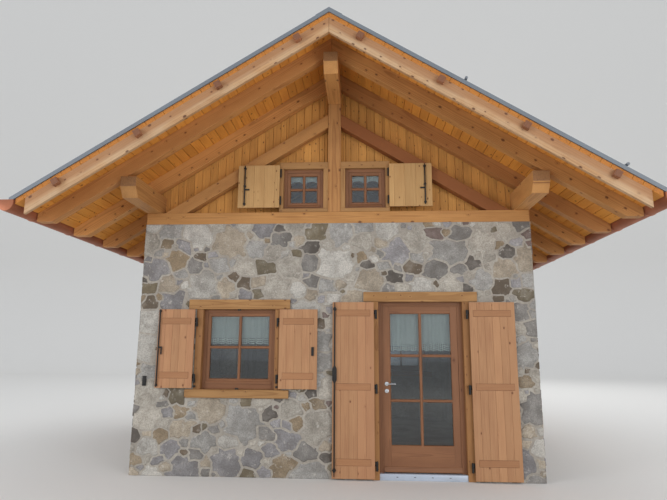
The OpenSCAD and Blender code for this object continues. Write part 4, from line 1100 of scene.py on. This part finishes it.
def shutter_boards(edge, low, high, cuts, rng):
    """The boards of a shutter from its hinge pin towards +X, between the given cuts, with V joints."""
    joint = 0.0005
    cuts = np.asarray(cuts) + edge
    return timber([(a + joint, -SHUTTER_HALF, low, b - joint, SHUTTER_HALF, high)
                   for a, b in zip(cuts, cuts[1:])], Z, 0.0020, rng)


def shutter_battens(width, lows, ease, rng, grow=0.0, proud=0.004):
    """Battens let into a shutter's face; grown a little and less proud they are the dark strip round them,
    the joint whose darkness is painted shade.
    """
    inset, batten, deep = 0.050 - grow, 0.078 + grow, 0.008
    start, end = PIN_EDGE + inset, PIN_EDGE + width - inset
    return timber([(start, -SHUTTER_HALF - proud, z - grow, end, -deep, z + batten) for z in lows],
                  X, ease, rng)


def shutter_panels(node, panels, lows, board, woods, rng, low, high, body=HOUSE):
    """Shutters that share a node, each given by its place and width: boards, battens and the dark strips of
    their joints, painted shade.

    The boards reach from low to high, and the battens' lower edges are at lows.
    """
    # joints are dark strips round the battens: the open joint, its shade painted in dark wood
    parts = {"boards": [], "battens": [], "joints": []}
    for matrix, width in panels:
        cuts = np.linspace(0, width, round(width / board) + 1)
        for groups, group in zip(parts.values(), (
                shutter_boards(PIN_EDGE, low, high, cuts, rng), shutter_battens(width, lows, 0.0022, rng),
                shutter_battens(width, lows, 0.0002, rng, grow=0.0026, proud=0.0006))):
            groups += laid([group], matrix)
    for (part, groups), material in zip(parts.items(), woods):
        joined_bars(node + "_" + part, groups, material, node, body)


class CHALET_OT_shutters(bpy.types.Operator):
    """Board the shutters of the door, the windows and the gable windows"""
    bl_idname = "chalet.shutters"
    bl_label = "Shutters"

    def execute(self, context):
        paint = context.scene.chalet_colours
        board = context.scene.chalet_sizes.shutter_board
        rng = np.random.default_rng(17)
        larch = wood("planed_larch", paint.larch, paint.larch_dark, knots=0.3, spread=0.07, ring=0.006,
                     red=0.28, figure=0.6, knot_gap=0.20, red_tone=(180, 125, 92))
        ledge = wood("batten_larch", paint.ledge, paint.larch_dark, knots=0.1, spread=0.08, figure=0.5)
        # Dark wood for the strip round each batten: the joint's shade, painted
        joint_shade = wood("batten_joint_shade", srgb(96, 60, 40), srgb(70, 44, 30), knots=0.0, figure=0.4)
        pale = wood("pale_pine", paint.pale, paint.pale_dark, knots=0.7, spread=0.08, figure=0.5,
                    knot_gap=0.14)
        woods = (larch, ledge, joint_shade)
        pin_y, gable_y = -0.044, -0.036
        for hand, pin_x, width, lows in (("left", 0.5525, 0.536, (0.175, 1.082, 2.015)),
                                         ("right", 1.7205, 0.572, (0.188, 1.096, 2.012))):
            panels = [(spot("front", pin_x, pin_y, hand == "left"), width)]
            shutter_panels("door_shutter_" + hand, panels, lows, board, woods, rng, low=0.020, high=2.195,
                           body="shutter_" + hand)
        panels = [(spot(side, x + gap, pin_y, mirror), width) for side, x in WINDOW_PLACES
                  for gap, mirror, width in ((-0.5555, True, 0.486), (0.5195, False, 0.498))]
        lows = (WINDOW.low + 0.139, WINDOW.top - 0.199)
        shutter_panels("window_shutters", panels, lows, board, woods, rng, low=1.085, high=2.100)
        low, high = GABLE_WINDOW.low + 0.005, GABLE_WINDOW.top + 0.042
        edge, cuts = 0.750, (0.0, 0.066, 0.211, 0.356, 0.501, 0.575)
        groups = []
        for side, mirror in GABLE_PLACES:
            groups += laid([shutter_boards(edge, low, high, cuts, rng)], spot(side, 0, gable_y, mirror))
        joined_bars("gable_shutter_boards", groups, pale, "gable_shutters")
        return {"FINISHED"}


def refined(node, material, ease, body):
    """A CAD node of metal with its sharp edges rounded off."""
    mesh = dressed(node, "_finished", material, ease, sharp=35, body=body).data
    mesh.shade_smooth()
    mesh.set_sharp_from_angle(angle=math.radians(40))


class CHALET_OT_metalwork(bpy.types.Operator):
    """Finish hinges, bolts, handle, threshold, gutters and the roof's sheet metal"""
    bl_idname = "chalet.metalwork"
    bl_label = "Metalwork"

    def execute(self, context):
        paint = context.scene.chalet_colours
        black = metal("painted_iron", paint.iron, 0.0, 0.6, srgb(38, 33, 30), 0.4)
        chrome = metal("polished_chrome", srgb(206, 208, 210), 1.0, 0.16, depth=0.0001)
        steel = metal("plain_steel", srgb(150, 150, 150), 1.0, 0.35)
        brass = metal("curtain_brass", srgb(196, 158, 92), 1.0, 0.3)
        bright = metal("mill_aluminium", srgb(192, 202, 216), 0.35, 0.38, srgb(160, 166, 174), 0.4)
        sheet = metal("coated_sheet", paint.covering, 0.2, 0.5, srgb(122, 132, 140), 0.5, 0.002)
        copper = metal("dulled_copper", paint.copper, 0.5, 0.45, srgb(128, 80, 60), 0.6, 0.001)
        for node, material, ease, body in (
                ("shutter_iron", black, 0.002, HOUSE), ("hinge_pins", black, 0.002, HOUSE),
                ("door_shutter_left_iron", black, 0.0012, "shutter_left"),
                ("door_shutter_right_iron", black, 0.0012, "shutter_right"),
                ("door_handle", chrome, 0.0015, "door"), ("door_hinge_knuckles", steel, 0.001, "door"),
                ("door_curtain_rod", brass, 0.001, "door"), ("door_threshold", bright, 0.0015, HOUSE),
                ("gutters", copper, 0.001, HOUSE), ("gutter_brackets", copper, 0.001, HOUSE),
                ("snow_guards", sheet, 0.0015, HOUSE)):
            refined(node, material, ease, body)
        threshold_slots(black)
        set_material(sheet, "roof_covering")
        set_material(window_pane(), "window_glass", "door_glass")
        return {"FINISHED"}


def threshold_slots(material):
    """Four drain slots in the outer face of the threshold."""
    low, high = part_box("door_threshold")
    half, bottom, top, out, deep = 0.012, 0.036, 0.043, 0.0005, 0.002
    slots = timber([(x - half, low.y - out, bottom, x + half, low.y + deep, top)
                    for x in np.linspace(low.x, high.x, 6)[1:-1]], X, 0.0006, np.random.default_rng(3))
    joined_bars("threshold_slots", [slots], material)


def cloth(name, width, low, high, y, matrix, material, rod, folds, depth, hem, band, body=HOUSE):
    """A gathered curtain: y = depth a(u) sin(2 pi folds u + b(u)) for u across, deeper towards the hem.

    Its flat width is the length of that wave. It closes over the rod in its heading, and hem(u) lifts the
    lower edge. band is the height of the lace along the hem.
    """
    across, down = 16 * folds + 1, 44
    u = np.linspace(0, 1, across)[:, None]
    v = np.linspace(0, 1, down)[None, :]
    drop, arc, tail = high - low, np.pi * ROD_R, 0.020
    run = v * (drop + arc + tail)
    front = np.minimum(run, drop)
    over = np.clip(run - drop, 0, arc) / ROD_R
    behind = np.maximum(run - drop - arc, 0)
    lift = hem(u) * np.clip(1 - front / (0.35 * drop), 0, 1)
    z = low + front + lift + ROD_R * np.sin(over) - behind
    middle = y - ROD_R * np.cos(over)
    wander = 1.5 * np.sin(2 * np.pi * 1.7 * u + folds) + 0.7 * np.sin(2 * np.pi * 4.3 * u)
    wave = np.sin(2 * np.pi * folds * u + wander) * (0.78 + 0.22 * np.sin(2 * np.pi * 3.1 * u + folds))
    height = np.clip(front / drop, 0, 1)
    swing = wave * depth * (1 - 0.6 * height ** 3) * np.cos(over / 2) ** 2
    points = np.stack(np.broadcast_arrays((u - 0.5) * width, middle + swing + ROD_R * (1 - height ** 6), z),
                      axis=-1)
    faces = grid_faces(across, down).tolist()
    piece = new_object(name, placed(points, matrix), faces, material, body, smooth=True)
    stretch = np.concatenate([[0], np.cumsum(np.linalg.norm(np.diff(points[:, 3], axis=0), axis=1))])
    lace = (front < band) & (over <= 0)
    put(piece.data, "weave", "POINT", np.stack(np.broadcast_arrays(stretch[:, None], run, lace), axis=-1))
    return piece


def round_rod(name, length_of, y, z, matrix, material):
    """A rod along x with small knobs at its ends: radius as a function of the place along it."""
    around, radius = 16, 0.004
    along = np.array([-0.5, -0.5, -0.49, -0.485, 0.485, 0.49, 0.5, 0.5]) * length_of
    thick = np.array([0.0, 1.6, 1.6, 1.0, 1.0, 1.6, 1.6, 0.0]) * radius
    turn = np.linspace(0, 2 * np.pi, around, endpoint=False)[:, None]
    points = np.stack(np.broadcast_arrays(along, y + thick * np.cos(turn), z + thick * np.sin(turn)), axis=-1)
    faces = grid_faces(around, len(along), closed=True)[:, ::-1].tolist()
    return new_object(name, placed(points, matrix), faces, material, smooth=True)


def scallops(count, height):
    """A hem of small round lobes: how far it is lifted at each place across."""
    return lambda u: height * (1 - np.sqrt(np.clip(1 - (2 * (u * count % 1) - 1) ** 2, 0, 1)))


def arches(width, pane):
    """A hem lifted in an arch over the middle of each of two panes."""
    return lambda u: 0.045 * np.clip(1 - ((np.abs((u - 0.5) * width) - pane / 2) / (pane * 0.45)) ** 2, 0, 1)


class CHALET_OT_curtains(bpy.types.Operator):
    """Hang the gathered curtains of the door and the windows"""
    bl_idname = "chalet.curtains"
    bl_label = "Curtains"

    def execute(self, context):
        sheer = sheer_cloth(context.scene.chalet_colours)
        brass = bpy.data.materials["curtain_brass"]
        low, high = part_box("door_curtain")
        rod_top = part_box("door_curtain_rod")[1].z
        middle = (low.y + high.y) / 2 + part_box("rear_wall")[1].y
        play, knob_r, over = 0.004, 0.009, 0.006  # over: the height of window rods over the panes' tops
        piece = cloth("door_curtain_cloth", high.x - low.x - play, low.z, rod_top - knob_r, middle,
                      spot("front", (low.x + high.x) / 2), sheer, "door_curtain_rod_finished",
                      folds=context.scene.chalet_sizes.curtain_folds, depth=0.0045, hem=scallops(9, 0.022),
                      band=0.105, body="door")
        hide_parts("door_curtain")
        w, lap, knob, bar = WINDOW, 0.012, 0.015, 0.036
        half = w.half - PANE_EDGE + lap
        sill, top, y = w.low + w.foot + SASH_W, w.top - PANE_EDGE, w.y + FRAME_DEEP + ROD_R
        for side, x in WINDOW_PLACES:
            place = spot(side, x)
            rod = round_rod(side + "_window_rod", 2 * half + 2 * knob, y, top + over, place, brass)
            piece = cloth(side + "_window_cloth", 2 * half, (sill + top) / 2 + bar, top + over, y, place,
                          sheer, rod, folds=10, depth=0.0035, hem=scallops(8, 0.020), band=0.08)
            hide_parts("window_curtains")
        g, lap, rib, knob, drop = GABLE_WINDOW, 0.010, 0.018, 0.010, 0.116
        half = g.half - PANE_EDGE + lap
        pane = g.half - PANE_EDGE + rib
        top, y = g.top - PANE_EDGE + over, g.y + FRAME_DEEP + ROD_R
        for i, (side, mirror) in enumerate(GABLE_PLACES):
            place = spot(side, mirror=mirror) @ shifted(GABLE_X)
            rod = round_rod("gable_rod_%d" % i, 2 * half + 2 * knob, y, top, place, brass)
            cloth("gable_cloth_%d" % i, 2 * half, top - drop, top, y, place, sheer, rod, folds=6,
                  depth=0.003, hem=arches(2 * half, pane), band=0.02)
        return {"FINISHED"}


class CHALET_OT_stage(bpy.types.Operator):
    """Set up floor, backdrop, soft lights, world and camera"""
    bl_idname = "chalet.stage"
    bl_label = "Studio"

    def execute(self, context):
        paint = context.scene.chalet_colours
        studio_floor(paint)
        studio_lights()
        photo_camera(context.scene)
        context.scene.view_settings.view_transform = "Standard"
        return {"FINISHED"}


def studio_floor(paint):
    """A wide floor that bends up into a backdrop behind the house."""
    net = Net("studio_paper")
    grain = net.noise(net.where(), 30.0, 2.0, 0.5)
    paper = net.finish({"Base Color": net.mix(grain * 0.08, paint.floor, srgb(210, 208, 204)),
                        "Roughness": 0.9, "Specular IOR Level": 0.1})
    reach, start, bend, end, top = 60.0, 20, 8, 28.0, 45.0
    rise = np.linspace(0, 1, 40) * np.pi / 2
    run = np.concatenate([[-reach], start + bend * np.sin(rise), [end]])
    up = np.concatenate([[0.0], bend * (1 - np.cos(rise)), [top]]) - 0.001
    points = np.stack(np.broadcast_arrays(np.array([[-reach], [reach]]), run, up), axis=-1).reshape(-1, 3)
    faces = grid_faces(2, len(run)).tolist()
    new_object("studio_sweep", points, faces, paper, None, smooth=True)


def area_lamp(name, place, aim, size, power):
    """A round soft lamp that stands at place and shines towards aim."""
    lamp = bpy.data.lights.new(name, "AREA")
    lamp.shape = "DISK"
    lamp.size = size
    lamp.energy = power
    holder = bpy.data.objects.new(name, lamp)
    direction = Vector(aim) - Vector(place)
    holder.matrix_world = Matrix.Translation(place) @ direction.to_track_quat("-Z", "Y").to_matrix().to_4x4()
    bpy.context.scene.collection.objects.link(holder)


def studio_lights():
    """A pale world, a key and a fill lamp in front of the house, and a rim lamp behind it."""
    world = bpy.data.worlds.new("studio_world")
    world.use_nodes = True
    background = world.node_tree.nodes["Background"].inputs
    background["Color"].default_value = srgb(240, 244, 250)
    background["Strength"].default_value = 0.90
    bpy.context.scene.world = world
    area_lamp("key_lamp", place=(-13, -12.5, 3.6), aim=(0, 0, 3.2), size=7.0, power=620)
    area_lamp("fill_lamp", place=(10, -15, 3.0), aim=(0, 0, 3.6), size=7.0, power=600)
    area_lamp("rim_lamp", place=(6, 14, 14), aim=(0, 0, 3), size=8.0, power=900)


def photo_camera(scene):
    """Camera at the place and angle from which the house was photographed."""
    place = Vector((0.4184, -9.9477, 1.6160))
    yaw, pitch, roll = -0.0610, 0.1823, 0.0054
    forward = Vector((math.sin(yaw) * math.cos(pitch), math.cos(yaw) * math.cos(pitch), math.sin(pitch)))
    level = Vector((math.cos(yaw), -math.sin(yaw), 0))
    upright = level.cross(forward)
    right = math.cos(roll) * level + math.sin(roll) * upright
    up = -math.sin(roll) * level + math.cos(roll) * upright
    camera = bpy.data.cameras.new("photo_camera")
    camera.sensor_width = 36.0
    camera.lens = 28.44
    camera.clip_end = 400
    holder = bpy.data.objects.new("photo_camera", camera)
    axes = Matrix((right, up, -forward)).transposed().to_4x4()
    holder.matrix_world = Matrix.Translation(place) @ axes
    scene.collection.objects.link(holder)
    scene.camera = holder


class CHALET_PT_panel(bpy.types.Panel):
    """Lists the steps that dress the house"""
    bl_idname = "CHALET_PT_panel"
    bl_label = "Alpine Chalet"
    bl_space_type = "VIEW_3D"
    bl_region_type = "UI"
    bl_category = "Chalet"

    def draw(self, context):
        column = self.layout.column(align=True)
        for step in STEPS:
            column.operator(step.bl_idname)


STEPS = (CHALET_OT_stage, CHALET_OT_masonry, CHALET_OT_timbers, CHALET_OT_boards, CHALET_OT_windows,
         CHALET_OT_shutters, CHALET_OT_metalwork, CHALET_OT_curtains)
CLASSES = (ChaletSizes, ChaletColours) + STEPS + (CHALET_PT_panel,)


def register():
    for item in CLASSES:
        bpy.utils.register_class(item)
    bpy.types.Scene.chalet_sizes = PointerProperty(type=ChaletSizes)
    bpy.types.Scene.chalet_colours = PointerProperty(type=ChaletColours)


def unregister():
    del bpy.types.Scene.chalet_colours
    del bpy.types.Scene.chalet_sizes
    for item in reversed(CLASSES):
        bpy.utils.unregister_class(item)


def main():
    register()
    for step in STEPS:
        group, name = step.bl_idname.split(".")
        getattr(getattr(bpy.ops, group), name)()


if __name__ == "__main__":
    main()
